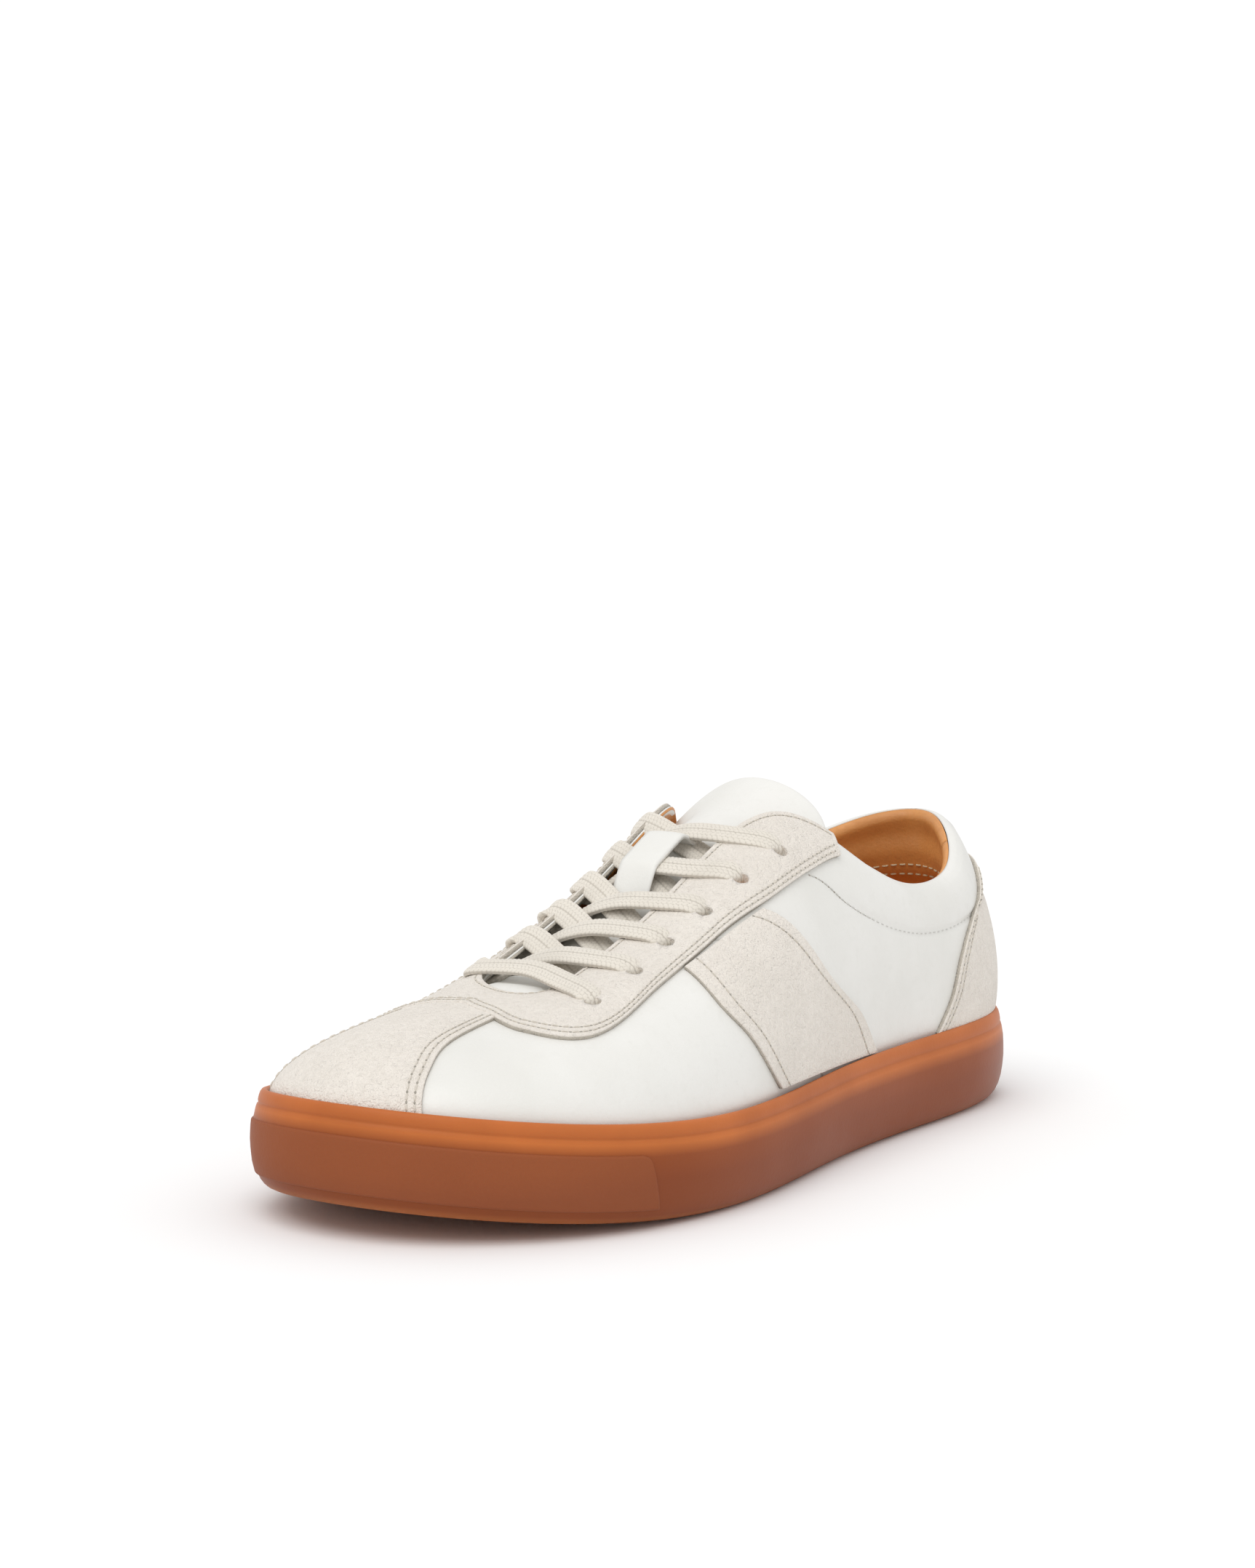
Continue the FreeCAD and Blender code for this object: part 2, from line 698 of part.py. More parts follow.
def main():
    os.makedirs("parts", exist_ok=True)
    write("cupsole", cupsole())
    write("toe_bumper", toe_bumper())
    write("cushion_core", insole_layer(FEATHER_INSET + 0.6, CUP_FLOOR + 0.1, 18.0))
    write("lasting_board", insole_layer(FEATHER_INSET + 1.8, 18.2, 19.8))
    write("footbed_foam", insole_layer(9.4, 20.0, 25.4))
    write("footbed_cover", insole_layer(10.0, 25.5, 26.5))

    holes = eyelet_tools()
    write("vamp", vamp().cut(holes))
    write("lateral_quarter", quarter(1).cut(holes))
    write("medial_quarter", quarter(-1).cut(holes))
    write("toe_cap", overlay(toe_region, 28, 14))
    write("eyestay", overlay(eyestay_region, 72, 6).cut(holes))
    write("lateral_stripe", overlay(between(STRIPE_REAR, STRIPE_FRONT), 10, 12))
    write("medial_stripe", overlay(between(mirrored(STRIPE_REAR), mirrored(STRIPE_FRONT)), 10, 12))
    write("heel_overlay", overlay(between(wrapped(HEEL_EDGE), HEEL_EDGE), 40, 12))

    stiffener_top = LEATHER + PLY_GAP
    write("heel_stiffener", panel(straight(-2.5, 2.5, 0.03, 0.6), stiffener_top, stiffener_top + STIFFENER, 36, 8))
    write("toe_puff", panel(straight(7.6, 10.4, 0.03, 0.5), stiffener_top, stiffener_top + STIFFENER, 28, 8))
    write("collar_foam", panel(straight(-4.3, 4.3, 0.68, 0.975), stiffener_top,
                               lambda s, v: lining_depth(s, v) - FOAM_GAP, 90, 14))
    write("lateral_lining", panel(straight(1.42, 5.6, 0.02, 0.995), lining_depth, lining_back, 32, 16).cut(holes))
    write("medial_lining", panel(straight(12.4, 16.58, 0.02, 0.995), lining_depth, lining_back, 32, 16).cut(holes))
    write("heel_grip", panel(straight(-1.4, 1.4, 0.02, 0.995), lining_depth, lining_back, 28, 16))
    write("vamp_lining", panel(straight(5.62, 12.38, 0.02, 0.985), lining_depth, lining_back, 66, 14).cut(holes))

    foam_top = TONGUE_LEATHER + TONGUE_GAP
    lining_top = foam_top + TONGUE_FOAM + TONGUE_GAP
    write("tongue_leather", tongue_ply(0.0, TONGUE_LEATHER, 0.0))
    write("tongue_foam", tongue_ply(foam_top, foam_top + TONGUE_FOAM, 2.0))
    write("tongue_lining", tongue_ply(lining_top, lining_top + TONGUE_LINING, 0.0))
    write("lace_keeper", lace_keeper())

    lace, aglets = lace_and_aglets()
    write("lace", lace)
    write("lace_aglets", aglets)


main()
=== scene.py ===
import math

import bmesh
import bpy
import numpy as np
from mathutils import Matrix, Vector


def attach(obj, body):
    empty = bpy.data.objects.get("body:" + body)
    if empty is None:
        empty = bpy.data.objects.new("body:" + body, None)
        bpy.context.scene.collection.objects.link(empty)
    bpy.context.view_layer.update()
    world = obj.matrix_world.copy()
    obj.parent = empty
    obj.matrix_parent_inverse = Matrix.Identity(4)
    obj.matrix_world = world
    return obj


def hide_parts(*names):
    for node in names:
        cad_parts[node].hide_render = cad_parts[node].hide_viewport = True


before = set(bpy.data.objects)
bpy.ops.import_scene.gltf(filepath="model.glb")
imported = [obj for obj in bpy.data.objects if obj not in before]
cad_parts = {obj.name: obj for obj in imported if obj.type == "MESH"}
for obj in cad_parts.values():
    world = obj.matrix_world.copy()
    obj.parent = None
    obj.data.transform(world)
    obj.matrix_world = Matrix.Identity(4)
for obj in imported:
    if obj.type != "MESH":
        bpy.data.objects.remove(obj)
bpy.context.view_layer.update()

# The shoe's skin is worked out in millimetres, as in the CAD model, and each mesh is written in
# metres. (s, v) is a place on the skin: s counts stations round the shoe from the heel, along the
# outer side, round the toe and back, and v runs from the feather edge, 0, to the topline, 1.

# The sole and the plies of the upper.
TOE_SPRING = 8.7
SPRING_START = 45.0
SPRING_END = 150.0
FOREFOOT_WALL = 25.1
HEEL_WALL_EXTRA = 1.4
CUP_FLOOR = 6.0
FEATHER_TUCK = 5.0
FEATHER_INSET = 5.0
LEATHER = 1.3
SUEDE = 1.3
LINING = 0.9
EDGE_ROUNDING = 0.35
SUEDE_BACK = -0.02
STIFFENER = 1.0
PLY_GAP = 0.1
COLLAR_PAD = 4.5
COLLAR_ROLL = 2.8
COLLAR_STITCH = 0.712
EYELET_BORE = 4.4
# Where the middle of the shoe's box lies in the outline's own coordinates.
MID_X = 1.85
MID_Y = 3.75

# Closed curves round the shoe, one point for each station: the sole's outline, the topline, the
# control points of the skin at the shoulder, and how far the skin rises, (out, up), from its foot.
OUTLINE = [
    (-151, 2), (-147, 30), (-112, 43), (-65, 44), (-15, 48), (34, 59), (80, 61), (119, 49), (148, 24),
    (156, -8), (142, -38), (108, -51), (70, -52), (20, -44), (-30, -35), (-75, -36), (-115, -39),
    (-147, -27),
]
TOPLINE = [
    (-138, 0.5, 83), (-128, 17, 80.5), (-104, 31.5, 70.5), (-75, 34, 68.3), (-46, 31.5, 79), (-20, 17, 92),
    (22, 12.5, 73.5), (60, 12.5, 58), (75, 10, 52.5), (79, 0.5, 51.5), (75, -10.5, 53.3), (60, -14, 58),
    (22, -13.5, 73.5), (-20, -16, 92), (-46, -30, 79), (-75, -34, 69), (-104, -31, 71.5), (-128, -16, 80.5),
]
SHOULDER = [
    (-147, 0.5, 60), (-136, 22.5, 60), (-107, 38, 56), (-73, 42, 54), (-38, 42, 66), (-6, 38, 80),
    (38, 38, 66), (80, 34, 53), (108, 18, 49.5), (122, -3, 51), (102, -17, 47.5), (72, -27, 45),
    (28, -28, 57), (-14, -28, 74), (-42, -38, 67), (-73, -39, 55), (-108, -38, 57), (-138, -23, 60),
]
RISE = [
    (4.5, 20), (4.5, 20), (2.5, 18), (1.5, 18), (1.5, 20), (2.5, 22), (3, 20), (3, 18), (3, 15),
    (4, 14), (3, 15), (2, 14), (1.5, 17), (1.5, 20), (1.5, 20), (1.5, 18), (2.5, 18), (4.5, 20),
]
STATIONS = len(OUTLINE)

# Edges as (s, v) points from low to high: the seam of quarter and vamp, the toe cap on the outer and
# on the inner side, and the stripe and the heel piece on the outer side.
SEAM_EDGE = [(4.15, 0.0), (5.32, 0.5), (6.5, 1.0)]
TOE_EDGE = [(8.05, 0.09), (8.18, 0.36), (8.27, 0.58), (8.12, 0.85)]
TOE_EDGE_INNER = [(10.15, 0.09), (10.04, 0.36), (9.95, 0.58), (10.08, 0.85)]
STRIPE_FRONT = [(4.92, 0.09), (5.35, 0.27), (5.78, 0.44), (6.14, 0.66)]
STRIPE_REAR = [(3.50, 0.09), (3.85, 0.30), (4.5, 0.45), (5.32, 0.66)]
HEEL_EDGE = [(2.68, 0.09), (2.52, 0.27), (2.38, 0.52), (2.08, 0.69), (1.3, 0.83)]
# Lower edge of the eyestay, from the middle of the throat's front to the back, on the outer side.
EYESTAY_EDGE = [
    (9.0, 0.858), (8.35, 0.785), (7.7, 0.635), (7.0, 0.515), (6.4, 0.645), (5.8, 0.68), (5.2, 0.68),
    (4.75, 0.75), (4.35, 0.88),
]
# Eyelets from the front to the back, on the outer side, 1, and on the inner side, -1. The inner
# side's stations count from the heel along the inner side.
EYELETS = {
    1: [(7.05, 0.72), (6.6, 0.78), (6.25, 0.81), (5.86, 0.80), (5.48, 0.80), (5.05, 0.82)],
    -1: [(6.88, 0.82), (6.5, 0.85), (6.18, 0.86), (5.82, 0.85), (5.45, 0.85), (5.03, 0.85)],
}


# ---- the skin


def ramp(value):
    """Smooth step from 0 to 1."""
    t = np.clip(value, 0.0, 1.0)
    return t * t * (3 - 2 * t)


def curve_controls(points):
    """Control points of the closed cubic curve that passes through the points."""
    wanted = np.array(points, float)
    controls = wanted.copy()
    for _ in range(40):
        controls = (6 * wanted - np.roll(controls, 1, 0) - np.roll(controls, -1, 0)) / 4
    return controls


def on_curve(controls, s):
    """Points at s on the closed cubic curve."""
    s = np.asarray(s, float)
    span = np.floor(s).astype(int)
    t = (s - span)[..., None]
    weights = ((1 - t) ** 3, 3 * t ** 3 - 6 * t ** 2 + 4, -3 * t ** 3 + 3 * t ** 2 + 3 * t + 1, t ** 3)
    return sum(w * controls[(span + k - 1) % len(controls)] for k, w in enumerate(weights)) / 6


OUTLINE_CONTROLS = np.array([(x, y, 0) for x, y in OUTLINE], float)
TOPLINE_CONTROLS = curve_controls(TOPLINE)
SHOULDER_CONTROLS = curve_controls(SHOULDER)
RISE_CONTROLS = curve_controls([(out, up, 0) for out, up in RISE])


def unit(vectors):
    """The vectors at length 1."""
    return vectors / np.maximum(np.linalg.norm(vectors, axis=-1, keepdims=True), 1e-9)


def spring(x):
    """Height of the sole's underside above the floor."""
    past = np.maximum(0.0, (x - SPRING_START) / (SPRING_END - SPRING_START))
    return TOE_SPRING * past ** 2


def lip(x):
    """Height of the cup's lip above the floor."""
    return FOREFOOT_WALL + HEEL_WALL_EXTRA / (1 + np.exp((x + 20) / 25)) + spring(x)


def outward(s):
    """Unit vector out of the outline, in plan."""
    step = on_curve(OUTLINE_CONTROLS, s + 0.01) - on_curve(OUTLINE_CONTROLS, s - 0.01)
    return unit(np.stack([-step[..., 1], step[..., 0], 0 * step[..., 0]], -1))


def skin(s, v):
    """Points on the outer face of the white leather."""
    s, v = np.broadcast_arrays(np.asarray(s, float), np.asarray(v, float))
    foot = on_curve(OUTLINE_CONTROLS, s) - outward(s) * FEATHER_INSET
    foot[..., 2] = lip(foot[..., 0]) - FEATHER_TUCK
    rise = on_curve(RISE_CONTROLS, s)
    low = foot + outward(s) * rise[..., :1]
    low[..., 2] += rise[..., 1]
    shoulder = on_curve(SHOULDER_CONTROLS, s)
    top = on_curve(TOPLINE_CONTROLS, s)
    v = v[..., None]
    u = 1 - v
    return foot * u ** 3 + low * (3 * u * u * v) + shoulder * (3 * u * v * v) + top * v ** 3


def skin_frame(s, v):
    """Unit vectors out of the skin and up along it."""
    along = skin(s + 0.01, v) - skin(s - 0.01, v)
    up = skin(s, v + 0.005) - skin(s, v - 0.005)
    return unit(np.cross(up, along)), unit(up)


def from_heel(s):
    """Stations from the back of the heel, the same on both sides."""
    return np.abs((np.asarray(s, float) + STATIONS / 2) % STATIONS - STATIONS / 2)


def puff(s, v):
    """How far the collar's padding pushes the leather out, with the dent of its stitch row."""
    here = ramp((4.75 - from_heel(s)) / 0.8)
    bulge = 1.1 * np.sin(np.pi * np.clip((v - 0.715) / 0.3, 0, 1)) ** 0.7
    dent = 0.55 * np.exp(-((v - COLLAR_STITCH) / 0.018) ** 2)
    return here * (bulge - dent)


def at_depth(s, v, depth):
    """Points below the skin by depth, or above it where depth is negative."""
    s, v = np.broadcast_arrays(np.asarray(s, float), np.asarray(v, float))
    out, _ = skin_frame(s, v)
    depth = np.broadcast_to(np.asarray(depth, float), s.shape)
    return skin(s, v) - out * depth[..., None]


def collar_pad(s, v):
    """Thickness of the collar's padding."""
    across = ramp((4.6 - from_heel(s)) / 1.2)
    up = ramp((v - 0.62) / 0.16) * (1 - 0.7 * ramp((v - 0.9) / 0.1))
    return COLLAR_PAD * across * up


def lining_depth(s, v):
    """Depth of the lining's outer face."""
    at_throat = ramp((v - 0.55) / 0.2) * ramp((from_heel(s) - 4.2) / 0.6)
    room = (STIFFENER + 2 * PLY_GAP) * (1 - at_throat) + PLY_GAP * at_throat
    return LEATHER + room + collar_pad(s, v)


# ---- meshes


def place(points):
    """Millimetres of the skin to metres of the frame."""
    return (np.asarray(points, float) - (MID_X, MID_Y, 0.0)) / 1000.0


def build(name, points, faces, material):
    """Smooth mesh object of points in millimetres."""
    mesh = bpy.data.meshes.new(name)
    mesh.from_pydata(place(points).tolist(), [], faces)
    mesh.validate()
    mesh.materials.append(material)
    mesh.polygons.foreach_set("use_smooth", [True] * len(mesh.polygons))
    mesh.update()
    piece = bpy.data.objects.new(name, mesh)
    bpy.context.scene.collection.objects.link(piece)
    return piece


def grid_faces(rows, columns, closed=False, offset=0, flip=False):
    """Quads of a grid of points stored row by row; closed joins each row's end to its start."""
    faces = []
    for j in range(rows - 1):
        for i in range(columns if closed else columns - 1):
            here, beside = j * columns + i, j * columns + (i + 1) % columns
            quad = (here, beside, beside + columns, here + columns)
            faces.append(tuple(offset + k for k in (quad[::-1] if flip else quad)))
    return faces


def cap_face(columns, offset=0, flip=False):
    """One face over a ring of points."""
    ring = tuple(offset + i for i in range(columns))
    return ring[::-1] if flip else ring


def outward_faces(piece):
    """Turn every face outwards."""
    work = bmesh.new()
    work.from_mesh(piece.data)
    bmesh.ops.remove_doubles(work, verts=work.verts, dist=1e-6)
    bmesh.ops.recalc_face_normals(work, faces=work.faces)
    work.to_mesh(piece.data)
    work.free()
    piece.data.polygons.foreach_set("use_smooth", [True] * len(piece.data.polygons))
    return piece


def steps(length, spacing, edges):
    """Positions from 0 to 1 over a length, spaced evenly but closer at both ends."""
    inner = np.linspace(edges[-1] / length, 1 - edges[-1] / length, max(2, int(length / spacing)) + 1)
    near = np.array([0.0] + list(edges[:-1])) / length
    return np.concatenate([near, inner, 1 - near[::-1]])


def slab_mesh(name, outer, inner, material, cut=None):
    """Closed slab between two grids of the same shape; cut is the material of its cut edges, which for
    suede is darker, as painted shade on the edges.
    """
    rows, columns = outer.shape[:2]
    count = rows * columns
    points = np.concatenate([outer.reshape(-1, 3), inner.reshape(-1, 3)])
    faces = grid_faces(rows, columns) + grid_faces(rows, columns, offset=count, flip=True)
    rim = list(range(columns))
    rim += [j * columns + columns - 1 for j in range(1, rows)]
    rim += [(rows - 1) * columns + i for i in range(columns - 2, -1, -1)]
    rim += [j * columns for j in range(rows - 2, 0, -1)]
    for a, b in zip(rim, rim[1:] + rim[:1]):
        faces.append((a, a + count, b + count, b))
    piece = outward_faces(build(name, points, faces, material))
    if cut:
        piece.data.materials.append(cut)
        for face in piece.data.polygons[len(faces) - len(rim):]:
            face.material_index = 1
    return piece


def edge_distance(points):
    """Distance in millimetres of each point of a grid from the grid's nearest edge."""
    along = np.linalg.norm(np.diff(points, axis=1), axis=2)
    left = np.concatenate([np.zeros((points.shape[0], 1)), np.cumsum(along, 1)], 1)
    up = np.linalg.norm(np.diff(points, axis=0), axis=2)
    low = np.concatenate([np.zeros((1, points.shape[1])), np.cumsum(up, 0)], 0)
    return np.minimum.reduce([left, left[:, -1:] - left, low, low[-1:] - low])


def suede_panel(name, region, depth, size, spacing=2.2):
    """Suede on a region of the skin, its face at a depth; size is its rough width and height."""
    near = [EDGE_ROUNDING * k for k in (0.15, 0.5, 1.0, 1.8)]
    a, b = np.meshgrid(steps(size[0], spacing, near), steps(size[1], spacing, near))
    s, v = region(a, b)
    past = np.maximum(0, EDGE_ROUNDING - edge_distance(skin(s, v)))
    drop = EDGE_ROUNDING - np.sqrt(np.maximum(0, EDGE_ROUNDING ** 2 - past ** 2))
    lift = puff(s, v)
    outer = at_depth(s, v, depth + drop - lift)
    inner = at_depth(s, v, SUEDE_BACK - lift)
    return slab_mesh(name, outer, inner, SUEDE_NAP, SUEDE_CUT_SHADE)


def along_edge(edge, t):
    """(s, v) at t, 0 to 1, on the smooth line through an edge's points."""
    spans = len(edge) - 1
    places = np.array(edge, float)
    t = np.clip(np.asarray(t, float), 0, 1) * spans
    i = np.minimum(spans - 1, t.astype(int))
    f = (t - i)[..., None]
    weights = (
        (-f + 2 * f ** 2 - f ** 3) / 2, (2 - 5 * f ** 2 + 3 * f ** 3) / 2,
        (f + 4 * f ** 2 - 3 * f ** 3) / 2, (-f ** 2 + f ** 3) / 2,
    )
    picks = (np.maximum(0, i - 1), i, i + 1, np.minimum(spans, i + 2))
    line = sum(w * places[k] for w, k in zip(weights, picks))
    return line[..., 0], line[..., 1]


def between(edge_a, edge_b):
    """Region between two edges."""
    def region(a, b):
        s_a, v_a = along_edge(edge_a, b)
        s_b, v_b = along_edge(edge_b, b)
        return s_a + (s_b - s_a) * a, v_a + (v_b - v_a) * a
    return region


def mirrored(edge):
    """The same edge on the inner side."""
    return [(STATIONS - s, v) for s, v in edge]


def wrapped(edge):
    """The same edge on the inner side, its stations counted back from the heel."""
    return [(-s, v) for s, v in edge]


def toe_region(a, b):
    """The toe cap, its back edge bowed up towards the throat."""
    s, v = between(TOE_EDGE, TOE_EDGE_INNER)(a, b)
    return s, v + 0.06 * b * (1 - (2 * a - 1) ** 2)


def eyestay_region(a, b):
    """The eyestay, from its back end on one side round the throat to the other; b runs to the topline."""
    s, v = along_edge(EYESTAY_EDGE, np.abs(2 * a - 1))
    s = np.where(a > 0.5, STATIONS - s, s)
    return s, v + (0.998 - v) * b


# ---- materials


def material(name, roughness, sheen=0.0, subsurface=0.0):
    """Node material with its uniform values set on the shader."""
    made = bpy.data.materials.new(name)
    made.use_nodes = True
    shader = made.node_tree.nodes["Principled BSDF"]
    shader.inputs["Roughness"].default_value = roughness
    shader.inputs["Sheen Weight"].default_value = sheen
    shader.inputs["Sheen Roughness"].default_value = 0.6
    shader.inputs["Subsurface Weight"].default_value = subsurface
    return made, made.node_tree, shader


def texture(tree, kind, scale, detail=4.0):
    """Noise or Voronoi texture on the object's own coordinates."""
    places = tree.nodes.new("ShaderNodeTexCoord")
    node = tree.nodes.new(kind)
    node.inputs["Scale"].default_value = scale
    if "Detail" in node.inputs:
        node.inputs["Detail"].default_value = detail
    tree.links.new(places.outputs["Object"], node.inputs["Vector"])
    return node


def mix(tree, a, b, factor, blend="MIX"):
    """Colour mix of two sockets or colours."""
    node = tree.nodes.new("ShaderNodeMix")
    node.data_type = "RGBA"
    node.blend_type = blend
    for value, socket in ((factor, node.inputs[0]), (a, node.inputs[6]), (b, node.inputs[7])):
        if hasattr(value, "links"):
            tree.links.new(value, socket)
        else:
            socket.default_value = value if socket.type == "VALUE" else (*value, 1.0)
    return node.outputs[2]


def colour_ramp(tree, source, stops):
    """Colour ramp over a value."""
    node = tree.nodes.new("ShaderNodeValToRGB")
    elements = node.color_ramp.elements
    while len(elements) < len(stops):
        elements.new(0.5)
    for element, (position, colour) in zip(elements, stops):
        element.position = position
        element.color = (*colour, 1.0)
    tree.links.new(source, node.inputs[0])
    return node.outputs[0]


def fade(tree, source, start, end):
    """Grey ramp over a value; start and end are (position, grey) pairs."""
    return colour_ramp(tree, source, [(position, (level,) * 3) for position, level in (start, end)])


def bump(tree, shader, heights, distance):
    """Chain of bumps; heights are (socket, strength) pairs."""
    last = None
    for socket, strength in heights:
        node = tree.nodes.new("ShaderNodeBump")
        node.inputs["Strength"].default_value = strength
        node.inputs["Distance"].default_value = distance
        tree.links.new(socket, node.inputs["Height"])
        if last:
            tree.links.new(last, node.inputs["Normal"])
        last = node.outputs[0]
    tree.links.new(last, shader.inputs["Normal"])


def leather_material(name, light, dark, roughness, grain, grain_scale=1100.0):
    """Full-grain leather: fine pores, soft clouding and uneven gloss."""
    made, tree, shader = material(name, roughness)
    cloud = texture(tree, "ShaderNodeTexNoise", 28.0, 5.0)
    fine = texture(tree, "ShaderNodeTexNoise", 420.0, 3.0)
    pores = texture(tree, "ShaderNodeTexVoronoi", grain_scale)
    colour = mix(tree, light, dark, fade(tree, cloud.outputs[0], (0.38, 0.0), (0.68, 1.0)))
    colour = mix(tree, colour, dark, fade(tree, fine.outputs[0], (0.55, 0.0), (0.8, 0.5)))
    tree.links.new(colour, shader.inputs["Base Color"])
    gloss = fade(tree, fine.outputs[0], (0.3, roughness - 0.06), (0.7, roughness + 0.08))
    tree.links.new(gloss, shader.inputs["Roughness"])
    bump(tree, shader, [(pores.outputs["Distance"], grain), (fine.outputs[0], grain * 0.8)], 0.0004)
    return made


def suede_material(name, light, dark):
    """Suede: brushed nap in patches, speckled fibres and a soft sheen."""
    made, tree, shader = material(name, 0.95, sheen=0.25)
    patches = texture(tree, "ShaderNodeTexNoise", 60.0, 6.0)
    nap = texture(tree, "ShaderNodeTexNoise", 520.0, 6.0)
    fibre = texture(tree, "ShaderNodeTexNoise", 1700.0, 4.0)
    colour = mix(tree, light, dark, fade(tree, patches.outputs[0], (0.38, 0.05), (0.80, 0.45)))
    colour = mix(tree, colour, dark, fade(tree, nap.outputs[0], (0.42, 0.0), (0.75, 0.5)))
    colour = mix(tree, colour, light, fade(tree, fibre.outputs[0], (0.50, 0.0), (0.80, 0.45)))
    tree.links.new(colour, shader.inputs["Base Color"])
    bump(tree, shader, [(nap.outputs[0], 0.8), (fibre.outputs[0], 0.8)], 0.0009)
    return made


def rubber_material(name, stops, roughness, cloud_dark, subsurface, speckle=0.12):
    """Gum rubber, its colour set by the height on the wall, so that its stops paint light and shade by
    height.
    """
    made, tree, shader = material(name, roughness, subsurface=subsurface)
    shader.inputs["Specular IOR Level"].default_value = 0.12
    shader.inputs["Subsurface Radius"].default_value = (1.0, 0.35, 0.1)
    shader.inputs["Subsurface Scale"].default_value = 0.004
    height = tree.nodes.new("ShaderNodeAttribute")
    height.attribute_name = "wall_height"
    colour = colour_ramp(tree, height.outputs["Fac"], stops)
    cloud = texture(tree, "ShaderNodeTexNoise", 22.0, 4.0)
    fine = texture(tree, "ShaderNodeTexNoise", 900.0, 2.0)
    colour = mix(tree, colour, cloud_dark, fade(tree, cloud.outputs[0], (0.4, 0.0), (0.75, 0.35)))
    tree.links.new(colour, shader.inputs["Base Color"])
    gloss = fade(tree, cloud.outputs[0], (0.3, roughness - 0.05), (0.7, roughness + 0.07))
    tree.links.new(gloss, shader.inputs["Roughness"])
    bump(tree, shader, [(fine.outputs[0], speckle)], 0.0003)
    return made


def cloth_material(name, light, dark, scale):
    """Woven cloth or braid: crossed threads with worn tops."""
    made, tree, shader = material(name, 0.9, sheen=0.15)
    weave = texture(tree, "ShaderNodeTexVoronoi", scale)
    fuzz = texture(tree, "ShaderNodeTexNoise", scale * 1.6, 4.0)
    tone = texture(tree, "ShaderNodeTexNoise", 60.0, 3.0)
    colour = mix(tree, light, dark, fade(tree, weave.outputs["Distance"], (0.25, 0.0), (0.8, 0.8)))
    colour = mix(tree, colour, dark, fade(tree, tone.outputs[0], (0.45, 0.0), (0.8, 0.4)))
    tree.links.new(colour, shader.inputs["Base Color"])
    bump(tree, shader, [(weave.outputs["Distance"], 0.4), (fuzz.outputs[0], 0.35)], 0.0003)
    return made


def braid_material(name, light, dark):
    """Cotton braid: yarns lit on their crests and dark between, with loose fibres."""
    made, tree, shader = material(name, 0.92, sheen=0.2)
    yarn = tree.nodes.new("ShaderNodeAttribute")
    yarn.attribute_name = "yarn"
    fuzz = texture(tree, "ShaderNodeTexNoise", 2400.0, 4.0)
    tone = texture(tree, "ShaderNodeTexNoise", 90.0, 3.0)
    colour = mix(tree, dark, light, fade(tree, yarn.outputs["Fac"], (0.0, 0.0), (0.55, 1.0)))
    colour = mix(tree, colour, dark, fade(tree, tone.outputs[0], (0.5, 0.0), (0.85, 0.3)))
    tree.links.new(colour, shader.inputs["Base Color"])
    bump(tree, shader, [(fuzz.outputs[0], 0.4)], 0.0003)
    return made


WHITE_LEATHER = leather_material("white_leather", (0.80, 0.79, 0.755), (0.74, 0.73, 0.69), 0.42, 0.10)
TAN_LEATHER = leather_material("tan_leather", (0.75, 0.34, 0.10), (0.54, 0.22, 0.058), 0.44, 0.16, 900.0)
SUEDE_NAP = suede_material("suede", (0.86, 0.80, 0.725), (0.72, 0.66, 0.585))
# Painted shade: the suede's cut edges are coloured darker, standing in for the shade on its raw edges.
SUEDE_CUT_SHADE = suede_material("suede_cut_edge_shade", (0.60, 0.55, 0.47), (0.48, 0.43, 0.36))
# Painted light and shade: the lip and the ridge under it are painted lighter, as lit from above, and the
# wall between them darker; the rounded foot of the wall is lighter too.
GUM = rubber_material(
    "gum_rubber",
    [(0.0, (0.42, 0.135, 0.036)), (0.08, (0.25, 0.066, 0.022)), (0.45, (0.245, 0.062, 0.021)),
     (0.68, (0.29, 0.074, 0.022)), (0.80, (0.56, 0.165, 0.042)), (0.87, (0.50, 0.140, 0.036)),
     (1.0, (0.56, 0.165, 0.045))],
    0.38, (0.20, 0.048, 0.016), 0.08)
# Painted light and shade: the bumper is a little darker at its middle and lighter at its top edge, by
# height.
BUMPER_GUM = rubber_material(
    "bumper_rubber",
    [(0.0, (0.276, 0.081, 0.031)), (0.5, (0.266, 0.077, 0.031)), (1.0, (0.292, 0.084, 0.031))],
    0.52, (0.225, 0.061, 0.024), 0.05, 0.3)
BRAID = braid_material("lace_braid", (0.735, 0.685, 0.605), (0.50, 0.455, 0.39))
AGLET_PLASTIC = leather_material("aglet_plastic", (0.70, 0.66, 0.58), (0.64, 0.60, 0.52), 0.3, 0.03)
# Painted shade: the needle holes are dark discs that stand in for the shade inside them.
HOLE_SHADE = cloth_material("needle_hole", (0.46, 0.42, 0.36), (0.36, 0.33, 0.28), 3000.0)
THREAD = cloth_material("thread", (0.80, 0.75, 0.67), (0.66, 0.61, 0.53), 3000.0)
WHITE_THREAD = cloth_material("white_thread", (0.76, 0.75, 0.71), (0.62, 0.61, 0.57), 3000.0)
CREAM_THREAD = cloth_material("cream_thread", (0.76, 0.66, 0.46), (0.60, 0.48, 0.30), 3000.0)
LINING_CLOTH = cloth_material("lining_cloth", (0.70, 0.66, 0.58), (0.55, 0.51, 0.44), 1400.0)
FOAM = cloth_material("foam", (0.80, 0.77, 0.66), (0.66, 0.62, 0.5), 900.0)
BOARD = cloth_material("board", (0.55, 0.47, 0.35), (0.42, 0.35, 0.25), 500.0)


# ---- keeping the pieces


def keep(piece, slot, *nodes, body="shoe"):
    """Ride a piece on its body, hide the CAD nodes it stands for, and return it; slot is not used."""
    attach(piece, body)
    if nodes:
        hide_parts(*nodes)
    return piece


# ---- the sole

